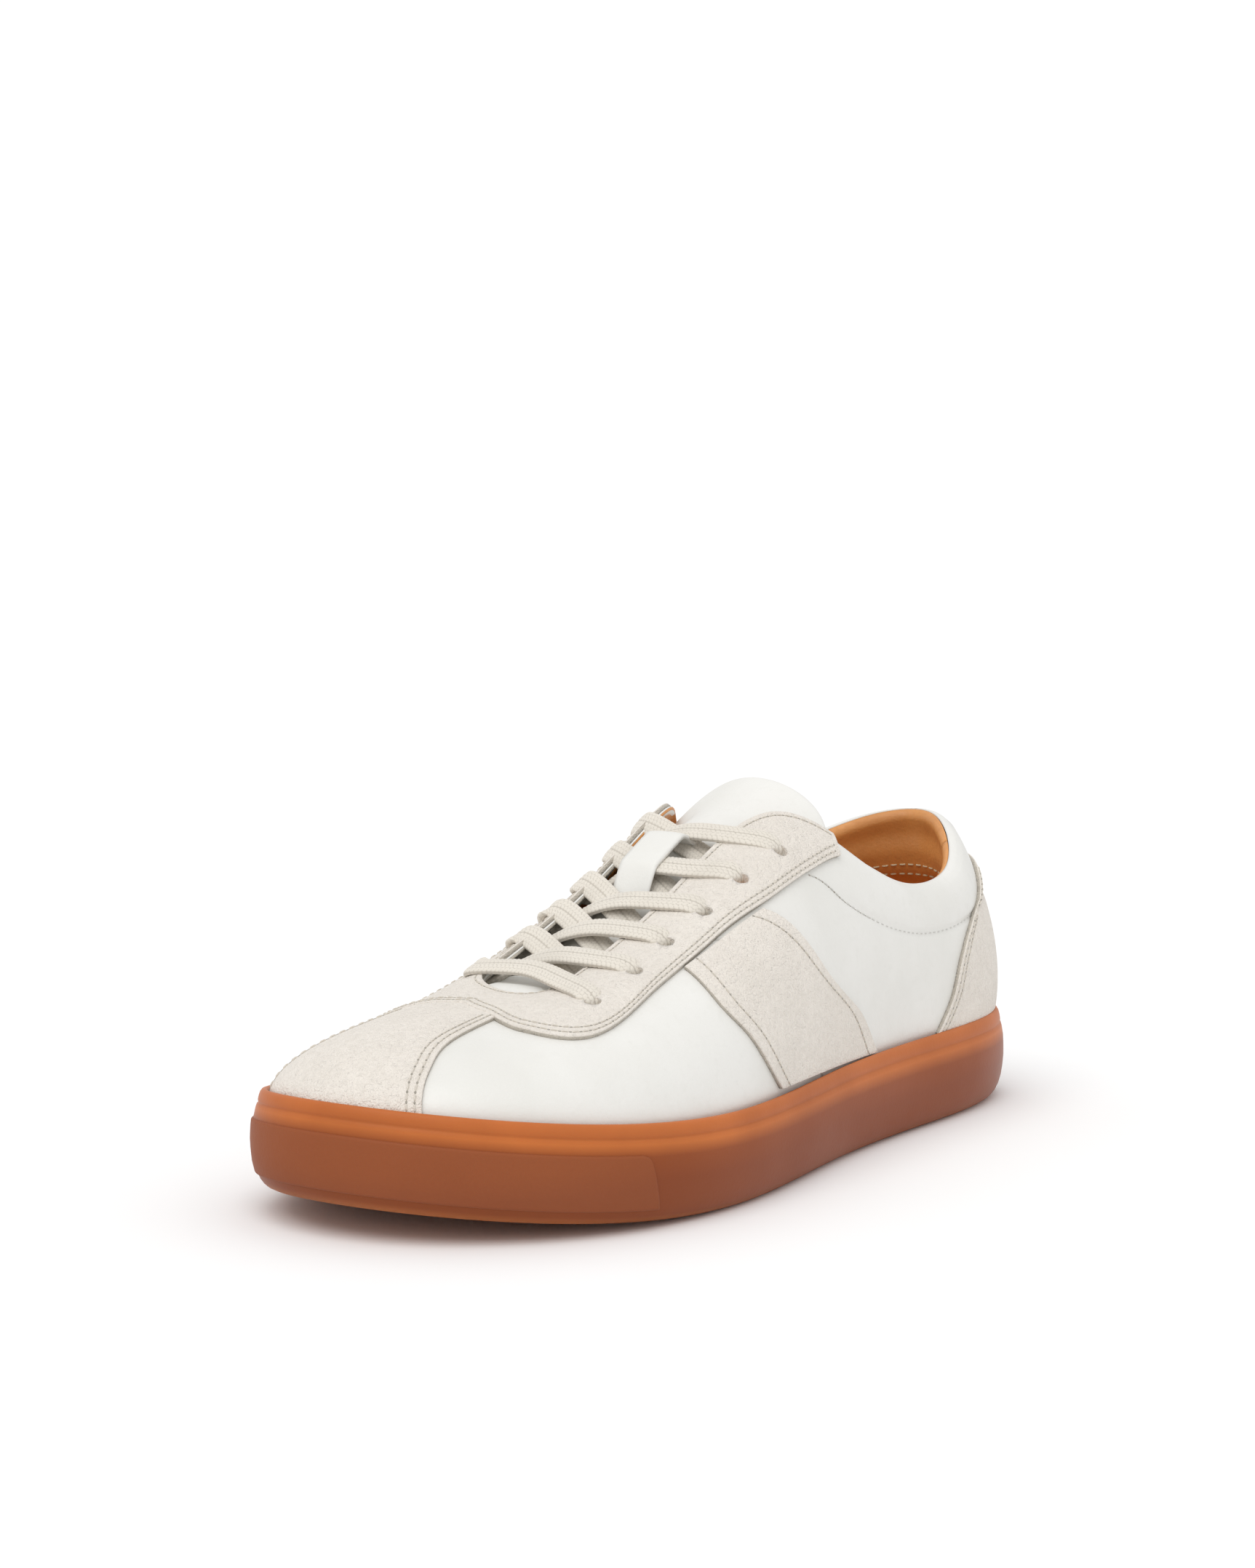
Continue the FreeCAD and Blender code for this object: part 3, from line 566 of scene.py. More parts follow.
# Section of the cup as (inset, height): under the floor, up the wall, over the lip and down inside.
WALL_PROFILE = [
    (16.0, 0.0), (7.5, 0.0), (5.2, 0.1), (4.0, 0.5), (3.0, 1.2), (2.1, 2.3), (1.3, 4.0), (0.6, 6.5),
    (0.2, 9.5), (0.0, 12.5), (0.1, 15.5), (0.3, 18.0), (0.75, 20.2), (1.05, 21.1), (1.45, 21.45),
    (1.35, 21.8), (1.3, 22.2), (1.5, 23.2), (1.85, 24.2), (2.3, 24.85), (2.9, FOREFOOT_WALL),
    (3.5, 24.9), (3.8, 24.3), (3.85, 23.0), (4.0, 18.0), (4.3, 10.0), (5.0, CUP_FLOOR), (16.0, CUP_FLOOR),
]
BUMPER_PROFILE = WALL_PROFILE[2:12]
STRETCH_FROM = 12


def wall_grid(profile, s):
    """Points of a wall profile, as (inset, height over a forefoot wall), at each station."""
    rows = []
    for inset, height in profile:
        base = on_curve(OUTLINE_CONTROLS, s) - outward(s) * inset
        wall = lip(base[:, 0]) - spring(base[:, 0])
        stretch = (wall / FOREFOOT_WALL - 1) * (height - STRETCH_FROM) / (FOREFOOT_WALL - STRETCH_FROM)
        scale = np.where(height > STRETCH_FROM, 1 + stretch, 1.0)
        base[:, 2] = spring(base[:, 0]) + height * scale
        rows.append(base)
    return np.array(rows)


def point_values(piece, name, values):
    """Store a value at each point of a mesh, for its material."""
    piece.data.attributes.new(name, "FLOAT", "POINT").data.foreach_set("value", values)


def cupsole():
    """Moulded cup, round the whole outline."""
    s = np.linspace(0, STATIONS, 721)[:-1]
    grid = wall_grid(WALL_PROFILE, s)
    rows, columns = grid.shape[:2]
    faces = grid_faces(rows, columns, closed=True)
    faces.append(cap_face(columns, flip=True))
    faces.append(cap_face(columns, (rows - 1) * columns))
    piece = build("cupsole_rubber", grid.reshape(-1, 3), faces, GUM)
    heights = np.array([height for _, height in WALL_PROFILE]) / FOREFOOT_WALL
    point_values(piece, "wall_height", np.repeat(heights, columns))
    return outward_faces(piece)


def toe_bumper():
    """Band of matte rubber round the toe, its edges rounded and its lower corners drawn in."""
    middle, half, low, high, shade_height = 9.05, 2.75, 3.4, 17.6, 14.0
    thick, edge_width, bedding = 0.65, 0.8, 0.05
    a = steps(270.0, 2.0, [0.15, 0.4, 0.8, 1.4])
    b = steps(14.0, 1.2, [0.15, 0.35, 0.6, 0.9])
    side, up = np.meshgrid(2 * a - 1, b)
    s = middle + side * (half - 0.10 * up)
    corner = 2.2 * np.clip((np.abs(side) - 0.975) / 0.025, 0, 1) ** 3
    height = low + (high - low - corner) * up
    insets, levels = zip(*BUMPER_PROFILE)
    inset = np.interp(height, levels, insets)
    base = on_curve(OUTLINE_CONTROLS, s) - outward(s) * inset[..., None]
    base[..., 2] = spring(base[..., 0]) + height
    from_edge = np.clip(edge_distance(base) / edge_width, 0, 1)
    proud = thick * np.sqrt(np.clip(1 - (1 - from_edge) ** 2, 0, 1)) - bedding
    outer = base + outward(s) * proud[..., None]
    inner = base - outward(s) * 0.4
    piece = slab_mesh("toe_bumper_rubber", outer, inner, BUMPER_GUM)
    z = np.array([vertex.co.z for vertex in piece.data.vertices])
    # Height over the bumper, for its material's painted light and shade.
    point_values(piece, "wall_height", np.clip((z - z.min()) * 1000 / shade_height, 0, 1))
    return piece


keep(cupsole(), "gum_rubber", "cupsole")
keep(toe_bumper(), "bumper_rubber", "toe_bumper")


# ---- the upper's leather

LEATHER_ROWS = 60
HEEL_SEAM = 0.004
VAMP_SEAM = 0.01


def roll_radius(s):
    """Radius of the topline's roll: wide at the collar, a cut edge at the throat."""
    return LEATHER / 2 + (COLLAR_ROLL - LEATHER / 2) * ramp((4.7 - from_heel(s)) / 0.9)


def roll_start(s):
    """v where the skin leaves for the topline's roll, which stands above the topline at the collar."""
    length = np.linalg.norm(skin(s, 1.0) - skin(s, 0.96), axis=-1) / 0.04
    return 1 - roll_radius(s) * (1 - 0.8 * ramp((4.5 - from_heel(s)) / 0.9)) / length


def roll_point(s, angle, depth):
    """Point on the topline's roll, angle 0 outside to pi inside."""
    start = roll_start(s)
    out, up = skin_frame(s, start)
    radius = roll_radius(s)[..., None]
    centre = skin(s, start) - out * radius
    reach = np.maximum(radius - depth, 0.05)
    return centre + (out * np.cos(angle) + up * np.sin(angle)) * reach


def leather_part(name, line):
    """White leather from the feather edge up and over the topline; line gives its stations at v."""
    outer = []
    inner = []
    for up in np.linspace(0, 1, LEATHER_ROWS):
        s = line(up)
        v = up * roll_start(s)
        outer.append(at_depth(s, v, -puff(s, v)))
        inner.append(at_depth(s, v, LEATHER - puff(s, v)))
    s = line(1.0)
    for angle in np.linspace(0, 0.47 * np.pi, 8)[1:]:
        outer.append(roll_point(s, angle, 0.0))
        inner.append(roll_point(s, angle, LEATHER))
    return slab_mesh(name, np.array(outer), np.array(inner), WHITE_LEATHER)


def seam(v):
    """Station of the seam between the outer quarter and the vamp."""
    return along_edge(SEAM_EDGE, np.array(v))[0]


def vamp_line(v):
    """Stations of the vamp, from the outer seam round the toe to the inner one."""
    return seam(v) + (STATIONS - 2 * seam(v)) * np.linspace(0, 1, 241)


def quarter_line(v):
    """Stations of the outer quarter, a little short of the heel seam and of the vamp."""
    return HEEL_SEAM + (seam(v) - VAMP_SEAM) * np.linspace(0, 1, 121)


LEATHER_LINES = {
    "vamp": vamp_line,
    "lateral_quarter": quarter_line,
    "medial_quarter": lambda v: STATIONS - quarter_line(v),
}
leather = {node: leather_part(node + "_leather", line) for node, line in LEATHER_LINES.items()}

# ---- suede overlays

TOP = -(PLY_GAP + SUEDE)
TOE_TOP = TOP + 0.3
STRIPE_TOP = TOP + 0.15
SUEDE_SHAPES = {
    "toe_cap": (toe_region, TOE_TOP, (70, 62)),
    "eyestay": (eyestay_region, TOP, (330, 22), 1.6),
    "lateral_stripe": (between(STRIPE_REAR, STRIPE_FRONT), STRIPE_TOP, (45, 60)),
    "medial_stripe": (between(mirrored(STRIPE_REAR), mirrored(STRIPE_FRONT)), STRIPE_TOP, (45, 60)),
    "heel_overlay": (between(wrapped(HEEL_EDGE), HEEL_EDGE), TOP, (120, 48)),
}
suede = {node: suede_panel(node + "_suede", *shape) for node, shape in SUEDE_SHAPES.items()}


def punch(pieces):
    """Punch the eyelets through the pieces."""
    work = bmesh.new()
    for s, v in EYELETS[1] + mirrored(EYELETS[-1]):
        out, _ = skin_frame(np.array(s), np.array(v))
        centre = place(skin(s, v))
        turn = Vector((0, 0, 1)).rotation_difference(Vector(out)).to_matrix().to_4x4()
        radius = EYELET_BORE / 2000
        bmesh.ops.create_cone(work, cap_ends=True, segments=28, radius1=radius, radius2=radius, depth=0.014,
                              matrix=Matrix.Translation(Vector(centre)) @ turn)
    mesh = bpy.data.meshes.new("punch")
    work.to_mesh(mesh)
    work.free()
    tool = bpy.data.objects.new("punch", mesh)
    bpy.context.scene.collection.objects.link(tool)
    for piece in pieces:
        cut = piece.modifiers.new("punch", "BOOLEAN")
        cut.operation = "DIFFERENCE"
        cut.solver = "EXACT"
        cut.object = tool
        depsgraph = bpy.context.evaluated_depsgraph_get()
        result = bpy.data.meshes.new_from_object(piece.evaluated_get(depsgraph))
        piece.modifiers.clear()
        piece.data = result
    bpy.data.objects.remove(tool)


punch([*leather.values(), suede["eyestay"]])
for node, piece in leather.items():
    keep(piece, "white_leather", node)
for node, piece in suede.items():
    keep(piece, "suede", node)


# ---- linings


def lining_face(s, v):
    """Depth of the lining's outer face, which closes on the topline's roll."""
    top = 2 * roll_radius(s) - LINING
    return lining_depth(s, v) + (top - lining_depth(s, v)) * ramp((v - 0.84) / 0.12)


def lining_part(name, s_low, s_high, columns, made_of):
    """Lining from the crest of the topline's roll down to the insole."""
    s = np.linspace(s_low, s_high, columns)
    outer = []
    inner = []
    for angle in np.linspace(0.5 * np.pi, np.pi, 9):
        inner.append(roll_point(s, angle, 0.05))
        outer.append(roll_point(s, angle, 0.05 + LINING * 0.8))
    start = roll_start(s)
    for t in np.linspace(1, 0, 46)[1:]:
        v = start * t
        depth = lining_face(s, v)
        outer.append(at_depth(s, v, depth))
        inner.append(at_depth(s, v, depth + LINING))
    return slab_mesh(name, np.array(outer), np.array(inner), made_of)


for node, span in (("lateral_lining", (1.42, 5.6, 90)), ("medial_lining", (12.4, 16.58, 90)),
                   ("heel_grip", (-1.4, 1.4, 70))):
    keep(lining_part(node + "_leather", *span, TAN_LEATHER), "tan_leather", node)
keep(lining_part("vamp_lining_cloth", 5.62, 12.38, 130, LINING_CLOTH), "lining_cloth", "vamp_lining")


def collar_padding():
    """Foam between the leather and the lining round the collar."""
    a, b = np.meshgrid(np.linspace(-4.25, 4.25, 140), np.linspace(0.68, 0.93, 16))
    outer = at_depth(a, b, LEATHER + PLY_GAP - puff(a, b))
    inner = at_depth(a, b, np.maximum(lining_face(a, b) - 0.5, LEATHER + PLY_GAP + 0.4))
    return slab_mesh("collar_padding_foam", outer, inner, FOAM)


padding = keep(collar_padding(), "foam", "collar_foam")


def footbed():
    """Insole cover, raised a little along its rim."""
    rim, height, rim_rise, rim_drop, deepest = 9.4, 26.4, 1.3, 0.6, 30
    s = np.linspace(0, STATIONS, 361)[:-1]
    rings = []
    for inset in (rim, 9.6, 10.4, 12, 15, 20, 27, 36):
        base = on_curve(OUTLINE_CONTROLS, s) - outward(s) * min(inset, deepest)
        if inset > deepest:
            base[:, 1] *= 0.35
        edge = rim_rise * math.exp(-(inset - rim) / 3)
        base[:, 2] = spring(base[:, 0]) + height + edge - (rim_drop if inset == rim else 0)
        rings.append(base)
    grid = np.array(rings)
    rows, columns = grid.shape[:2]
    faces = grid_faces(rows, columns, closed=True)
    faces.append(cap_face(columns, (rows - 1) * columns))
    return outward_faces(build("footbed_cover_leather", grid.reshape(-1, 3), faces, TAN_LEATHER))


keep(footbed(), "tan_leather", "footbed_cover")


# ---- the tongue


def edge_height(x):
    """Height of the throat's edge: a straight line with a dip at the front and a swell at the back."""
    return 50.5 + (83.5 - x) * 0.39 - 2.0 * ramp((78 - x) / 14) + 4.1 * ramp((36 - x) / 38)


def tongue_height(x, y):
    """Height of the tongue's outer face, which swells between the facings."""
    back = ramp(-x / 30)
    crown = np.where(y > 0, 0.003 + 0.014 * back, 0.004 + 0.012 * ramp((62 - x) / 12) + 0.004 * back)
    lift = 5.2 * ramp((-8 - x) / 34) + 0.2 * np.maximum(0.0, x - 70)
    swell = (3.1 + 2.6 * ramp((x - 60) / 6)) * ramp((12.5 - np.abs(y)) / 4)
    swell = swell * ramp((81 - x) / 6) * (1 - ramp((-14 - x) / 16))
    return edge_height(x) - 6.5 + swell + lift - crown * y * y


def tongue_grid(depth, margin):
    """Points of a layer of the tongue, at a depth and drawn in by a margin."""
    a, b = np.meshgrid(np.linspace(0, 1, 90), np.linspace(-1, 1, 49))
    b = np.sin(b * np.pi / 2)
    top = -43.0 + margin + np.where(b > 0, 8 * b ** 6, 15 * b ** 4)
    front = 96.0 - margin
    x = front + (top - front) * np.sin(a * np.pi / 2) ** 1.2
    half = np.where(b > 0, 25 + 3.0 * ramp((-26 - x) / 10), 20) - margin - 4 * ramp((x - 60) / 30)
    y = b * half
    return np.stack([x, y, tongue_height(x, y) - depth], -1)


def tongue_pillow():
    """Leather face, rolled over its edges onto the lining."""
    roll = 2.4
    outer = tongue_grid(0.0, 0.0)
    from_edge = np.clip(edge_distance(outer) / roll, 0, 1)
    outer[..., 2] -= roll * (1 - np.sqrt(np.clip(1 - (1 - from_edge) ** 2, 0, 1)))
    return slab_mesh("tongue_face_leather", outer, tongue_grid(4.3, 0.3), WHITE_LEATHER)


tongue = keep(tongue_pillow(), "white_leather", "tongue_leather", body="tongue")
under = slab_mesh("tongue_lining_cloth", tongue_grid(4.35, 0.5), tongue_grid(5.1, 0.7), LINING_CLOTH)
keep(under, "lining_cloth", "tongue_lining", body="tongue")


# ---- lacing

# The flat braid, its section inside an eyelet, and how deep its middle lies under or over a facing.
LACE_WIDTH = 7.8
LACE_THICK = 2.2
HOLE_WIDTH = 4.4
HOLE_THICK = 2.6
UNDER_FACING = LEATHER + PLY_GAP + LINING + 0.2 + LACE_THICK / 2
OVER_FACING = SUEDE + PLY_GAP + LACE_THICK / 2
# Heights of a crossing's two strands over the throat's edge. LEADS are the stations from each
# strand's next eyelet to where it comes over the facing, row by row, by the side that it starts on.
# At an eyelet the strand's last point lies a little above the hole, and sinks a little.
LOW_STRAND = -1.7
HIGH_STRAND = 2.0
LEADS = {1: (0.08, 0.05, 0.12, 0.20, 0.27), -1: (0.35, 0.23, 0.27, 0.32, 0.39)}
ABOVE_HOLE = 0.026
HOLE_SINK = 0.4
# The braid's mesh, its yarns, and how near an eyelet it is narrow.
BRAID_SPACING = 0.36
SMOOTHED_POINTS = 7
YARN_ROWS = 3.0
YARN_PITCH = 1.35
NARROW_WITHIN = 0.9
WIDENS_OVER = 3.6


def side_place(side, s, v):
    """(s, v) on the outer side, 1, or the inner side, -1."""
    return (s, v) if side > 0 else (STATIONS - s, v)


def lace_point(side, s, v, depth):
    """Point of the lace over or under the skin, and the way out of the skin there."""
    s, v = side_place(side, s, v)
    out, _ = skin_frame(np.array(s), np.array(v))
    return at_depth(s, v, depth), out


def across_strand(points, start, end):
    """(point, direction across the braid) pairs of a strand that runs from start to end."""
    return [(point, unit(np.cross(out, end - start))) for point, out in points]


def crossing(row, side, lift):
    """One strand, from inside an eyelet to the next row's eyelet on the other side."""
    s, v = EYELETS[side][row]
    s_next, v_next = EYELETS[-side][row + 1]
    below = lace_point(side, s, v + 0.015, UNDER_FACING)
    leaving = lace_point(side, s + (0.1 if side > 0 else 0.0), 0.995, UNDER_FACING)
    over = lace_point(-side, s_next + LEADS[side][row], 0.98, -OVER_FACING + (0.3 if side > 0 else -0.2))
    middle_x = (leaving[0][0] + over[0][0]) / 2
    middle = np.array([middle_x, 0, edge_height(middle_x) + lift])
    hole = lace_point(-side, s_next + 0.005, v_next + ABOVE_HOLE, HOLE_SINK - OVER_FACING)
    strand = [leaving, (middle, np.array([0.42, 0, 0.90])), over, hole]
    return across_strand([below], below[0], leaving[0]) + across_strand(strand, leaving[0], hole[0])


def half_lace(side):
    """The lace from the middle of the first row's bar, out on this side, to the end it leads to."""
    s, v = EYELETS[side][0]
    crest = (np.array([70.6 + 0.3 * side, 4.0 * side, 57.9]), np.array([0.3, 0.0, 0.95]))
    bar = [crest, lace_point(side, 7.4 + 0.1 * side, 0.95, -OVER_FACING - 0.2)]
    bar.append(lace_point(side, s, v + ABOVE_HOLE, HOLE_SINK - OVER_FACING))
    points = across_strand(bar, np.zeros(3), np.array([0.1, side, 0.0]))
    for row in range(len(EYELETS[side]) - 1):
        points += crossing(row, side, LOW_STRAND if side > 0 else HIGH_STRAND)
        side = -side
    s, v = EYELETS[side][-1]
    depth = UNDER_FACING + STIFFENER + 0.4
    end = [lace_point(side, s, v, UNDER_FACING + 0.3)]
    end += [lace_point(side, s, v, depth) for s, v in [(5.25, 0.73), (5.6, 0.70), (6.0, 0.69)]]
    return points + across_strand(end, end[0][0], end[-1][0])


def spline_points(points):
    """Points along the smooth spline through a route, read from a curve with no bevel."""
    data = bpy.data.curves.new("route", "CURVE")
    data.dimensions = "3D"
    spline = data.splines.new("NURBS")
    spline.points.add(len(points) - 1)
    for target, point in zip(spline.points, points):
        target.co = (*place(point), 1.0)
    spline.order_u = 3
    spline.use_endpoint_u = True
    spline.resolution_u = 14
    route = bpy.data.objects.new("route", data)
    bpy.context.scene.collection.objects.link(route)
    depsgraph = bpy.context.evaluated_depsgraph_get()
    mesh = bpy.data.meshes.new_from_object(route.evaluated_get(depsgraph))
    line = np.array([vertex.co for vertex in mesh.vertices]) * 1000 + (MID_X, MID_Y, 0)
    bpy.data.objects.remove(route)
    return line


def run_of(line):
    """Length along a line at each of its points."""
    return np.concatenate([[0], np.cumsum(np.linalg.norm(np.diff(line, axis=0), axis=1))])


def at_run(places, run, values):
    """The values of a line's points, read at places along its length."""
    return np.stack([np.interp(places, run, values[:, k]) for k in range(3)], -1)


def resample(line, spacing):
    """The line's points at even spacing."""
    run = run_of(line)
    even = np.linspace(0, run[-1], int(run[-1] / spacing) + 1)
    return at_run(even, run, line), even


def quadratic(values, samples):
    """Values along the clamped quadratic spline that has these control values."""
    mid = (values[1:] + values[:-1]) / 2
    mid[0], mid[-1] = values[0], values[-1]
    t = np.linspace(0, 1, samples)[:, None]
    arcs = [(1 - t) ** 2 * mid[i] + 2 * t * (1 - t) * values[i + 1] + t ** 2 * mid[i + 1]
            for i in range(len(mid) - 1)]
    return np.concatenate(arcs)


def braid_directions(controls, sideways, line):
    """Unit vectors across the braid and out of its face, at each point of its line."""
    for k in range(1, len(sideways)):
        if sideways[k] @ sideways[k - 1] < 0:
            sideways[k] *= -1
    dense, dense_across = quadratic(controls, 40), quadratic(sideways, 40)
    nearest = np.array([np.argmin(((dense - point) ** 2).sum(1)) for point in line])
    smoothing = np.hanning(2 * SMOOTHED_POINTS + 1)
    smoothing /= smoothing.sum()
    padded = np.pad(dense_across[nearest], ((SMOOTHED_POINTS, SMOOTHED_POINTS), (0, 0)), mode="edge")
    across = np.stack([np.convolve(padded[:, k], smoothing, "valid") for k in range(3)], -1)
    tangent = unit(np.gradient(line, axis=0))
    across = unit(across - tangent * (across * tangent).sum(1)[:, None])
    return across, np.cross(tangent, across)


def lace():
    """Flat tubular braid: chevrons of yarn, drawn narrow where it goes through an eyelet."""
    route = half_lace(-1)[::-1] + half_lace(1)
    controls = np.array([point for point, _ in route])
    line, run = resample(spline_points(controls), BRAID_SPACING)
    across, face = braid_directions(controls, np.array([across for _, across in route]), line)
    holes = np.array([skin(*side_place(side, s, v)) for side in (1, -1) for s, v in EYELETS[side]])
    gap = np.linalg.norm(line[:, None] - holes[None], axis=2).min(1)
    full = ramp((gap - NARROW_WITHIN) / WIDENS_OVER)[:, None]
    width = HOLE_WIDTH + (LACE_WIDTH - HOLE_WIDTH) * full
    thick = HOLE_THICK + (LACE_THICK - HOLE_THICK) * full

    around = np.linspace(0, 2 * np.pi, 65)[:-1]
    c, sn = np.cos(around), np.sin(around)
    flat_x = (np.sign(c) * np.abs(c) ** 0.85)[None]
    flat_z = (np.sign(sn) * np.abs(sn) ** 0.8)[None]
    row_phase = flat_x * YARN_ROWS * (0.5 + 0.5 * full)
    row = np.abs(np.sin(np.pi * row_phase)) ** 0.4
    slant = np.where(np.floor(row_phase).astype(int) % 2 == 0, 0.5, -0.5) * (row_phase % 1.0)
    relief = row * np.abs(np.sin(np.pi * (run[:, None] / YARN_PITCH + slant))) ** 0.7
    swell = 0.22 * relief - 0.1
    points = line[:, None] + across[:, None] * (flat_x * (width / 2 + 0.6 * swell))[..., None]
    points = points + face[:, None] * (flat_z * (thick / 2 + swell))[..., None]

    rows, columns = points.shape[:2]
    faces = grid_faces(rows, columns, closed=True)
    faces.append(cap_face(columns))
    faces.append(cap_face(columns, (rows - 1) * columns, flip=True))
    piece = build("lace_flat_braid", points.reshape(-1, 3), faces, BRAID)
    point_values(piece, "yarn", relief.reshape(-1))
    return outward_faces(piece)


keep(lace(), "lace_braid", "lace")


def lace_keeper():
    """Leather strap on the tongue, over the fifth row of lacing."""
    rear, length, middle_y, half_width, rise = -5.0, 29.0, -0.5, 5.8, 7.2
    a, b = np.meshgrid(np.linspace(0, 1, 48), np.linspace(-1, 1, 11))
    x = rear + length * a
    y = middle_y + half_width * b
    bridge = rise * ramp(a / 0.36) * ramp((1 - a) / 0.24)
    z = tongue_height(x, 0 * y) + 0.05 + bridge - 0.25 * b * b
    outer = np.stack([x, y, z + 1.3 - 0.15 * b ** 8], -1)
    inner = np.stack([x, y, z], -1)
    return slab_mesh("lace_keeper_leather", outer, inner, WHITE_LEATHER)


keep(lace_keeper(), "white_leather", "lace_keeper", body="tongue")


# ---- stitching


STITCH_PITCH = 2.7
STITCH_GAP = 0.7
# A stitch at places along its length: its height over the surface, dipping in at both ends, and
# its thickness.
STITCH_ALONG = np.array([0.0, 0.1, 0.3, 0.7, 0.9, 1.0])
STITCH_HEIGHT = np.array([-0.32, 0.02, 0.16, 0.16, 0.02, -0.32])
STITCH_GIRTH = np.array([0.7, 0.95, 1.0, 1.0, 0.95, 0.7])


def needle_holes(name, rows):
    """Dark discs at the needle holes between the stitches of the rows: painted shade in the holes."""
    half_length, half_width, rise, sink, sides = 0.42, 0.28, 0.05, 0.3, 8
    turn = np.linspace(0, 2 * np.pi, sides + 1)[:-1, None]
    points = []
    faces = []
    for line, normals in rows:
        run = run_of(line)
        count = max(1, int(run[-1] / STITCH_PITCH))
        for along in np.arange(count + 1) * run[-1] / count:
            centre = at_run(along, run, line)
            tangent = unit(at_run(along + 0.5, run, line) - at_run(along - 0.5, run, line))
            normal = unit(at_run(along, run, normals))
            side = np.cross(normal, tangent)
            rim = centre + tangent * np.cos(turn) * half_length + side * np.sin(turn) * half_width
            offset = 2 * sides * len(points)
            points.append(np.concatenate([rim + normal * rise, rim - normal * sink]))
            faces += grid_faces(2, sides, closed=True, offset=offset)
            faces += [cap_face(sides, offset), cap_face(sides, offset + sides, flip=True)]
    piece = outward_faces(build(name, np.concatenate(points), faces, HOLE_SHADE))
    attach(piece, "shoe")


def stitches(name, rows, made_of, radius=0.21):
    """Rows of thread, stitch by stitch; rows are (points, normals)."""
    rings, sides = len(STITCH_ALONG), 6
    turn = np.linspace(0, 2 * np.pi, sides + 1)[None, :-1, None]
    girth = STITCH_GIRTH[:, None, None] * radius
    points = []
    faces = []
    for line, normals in rows:
        run = run_of(line)
        count = max(1, int(run[-1] / STITCH_PITCH))
        step = run[-1] / count
        for k in range(count):
            places = k * step + STITCH_GAP / 2 + STITCH_ALONG * (step - STITCH_GAP)
            centre = at_run(places, run, line)
            normal = unit(at_run(places, run, normals))
            side = unit(np.cross(unit(np.gradient(centre, axis=0)), normal))
            centre = centre + normal * STITCH_HEIGHT[:, None]
            section = side[:, None] * np.cos(turn) + normal[:, None] * np.sin(turn)
            offset = rings * sides * len(points)
            points.append((centre[:, None] + girth * section).reshape(-1, 3))
            faces += grid_faces(rings, sides, closed=True, offset=offset)
            faces += [cap_face(sides, offset), cap_face(sides, offset + (rings - 1) * sides, flip=True)]
    piece = outward_faces(build(name, np.concatenate(points), faces, made_of))
    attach(piece, "shoe")


def on_skin(s, v, depth):
    """Row of thread on the skin, at a depth."""
    out, _ = skin_frame(s, v)
    return at_depth(s, v, depth - puff(s, v)), out


def inside_edge(s, v, distance, inward_s, inward_v):
    """The line moved inwards over the skin by a distance in millimetres."""
    here = skin(s, v)
    ahead = skin(s + inward_s * 0.01, v + inward_v * 0.01)
    scale = 0.01 * distance / np.maximum(np.linalg.norm(ahead - here, axis=-1), 1e-6)
    return s + inward_s * scale, v + inward_v * scale


def edge_row(edge, distance, inward_s, depth, low, high):
    """Row of thread inside an edge of an overlay, which lies on the edge's inward_s side."""
    s, v = along_edge(edge, np.linspace(low, high, 80))
    return on_skin(*inside_edge(s, v, distance, inward_s, 0.0), depth)


def eyestay_row(b, distance, inward_v):
    """Row of thread inside the eyestay's lower edge, b 0, or its throat edge, b 1."""
    a = np.linspace(0.015, 0.985, 360)
    s, v = eyestay_region(a, np.full_like(a, b))
    return on_skin(*inside_edge(s, v, distance, 0.0, inward_v), TOP)


suede_rows = []
for toe_edge, flip, sign in ((TOE_EDGE, lambda edge: edge, 1), (TOE_EDGE_INNER, mirrored, -1)):
    for distance in (1.7, 3.7):
        suede_rows.append(edge_row(toe_edge, distance, sign, TOE_TOP, 0.03, 0.84 + 0.03 * sign))
    suede_rows.append(edge_row(flip(STRIPE_FRONT), 5.0, -sign, STRIPE_TOP, 0.02, 0.98))
    suede_rows.append(edge_row(flip(STRIPE_REAR), 6.0, sign, STRIPE_TOP, 0.02, 0.98))
    for distance in (1.6, 4.0):
        suede_rows.append(edge_row(flip(HEEL_EDGE), distance, -sign, TOP, 0.02, 0.97))
suede_rows += [eyestay_row(0.0, 1.8, 1.0), eyestay_row(0.0, 4.2, 1.0), eyestay_row(1.0, 2.2, -1.0)]
stitches("suede_stitches", suede_rows, THREAD)
needle_holes("suede_needle_holes", suede_rows)

s = np.linspace(-4.72, 4.72, 400)
collar_row = on_skin(s, COLLAR_STITCH + 0.03 * ramp((from_heel(s) - 4.2) / 0.5), 0.0)
stitches("collar_stitches", [collar_row], WHITE_THREAD, radius=0.18)
needle_holes("collar_needle_holes", [collar_row])


def lining_row(v):
    """Row of thread on the lining, round the heel."""
    s = np.linspace(-3.6, 3.6, 160)
    out, _ = skin_frame(s, np.full_like(s, v))
    return at_depth(s, v, lining_face(s, v) + LINING), -out


stitches("lining_stitches", [lining_row(0.735), lining_row(0.79)], CREAM_THREAD, radius=0.3)

# ---- CAD nodes that stay, inside the shoe

for node, made_of in (("cushion_core", FOAM), ("lasting_board", BOARD), ("footbed_foam", FOAM),
                      ("heel_stiffener", BOARD), ("toe_puff", BOARD),
                      ("tongue_foam", FOAM), ("lace_aglets", AGLET_PLASTIC)):
    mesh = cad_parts[node].data
    mesh.materials.clear()
    mesh.materials.append(made_of)

# ---- floor, light and camera


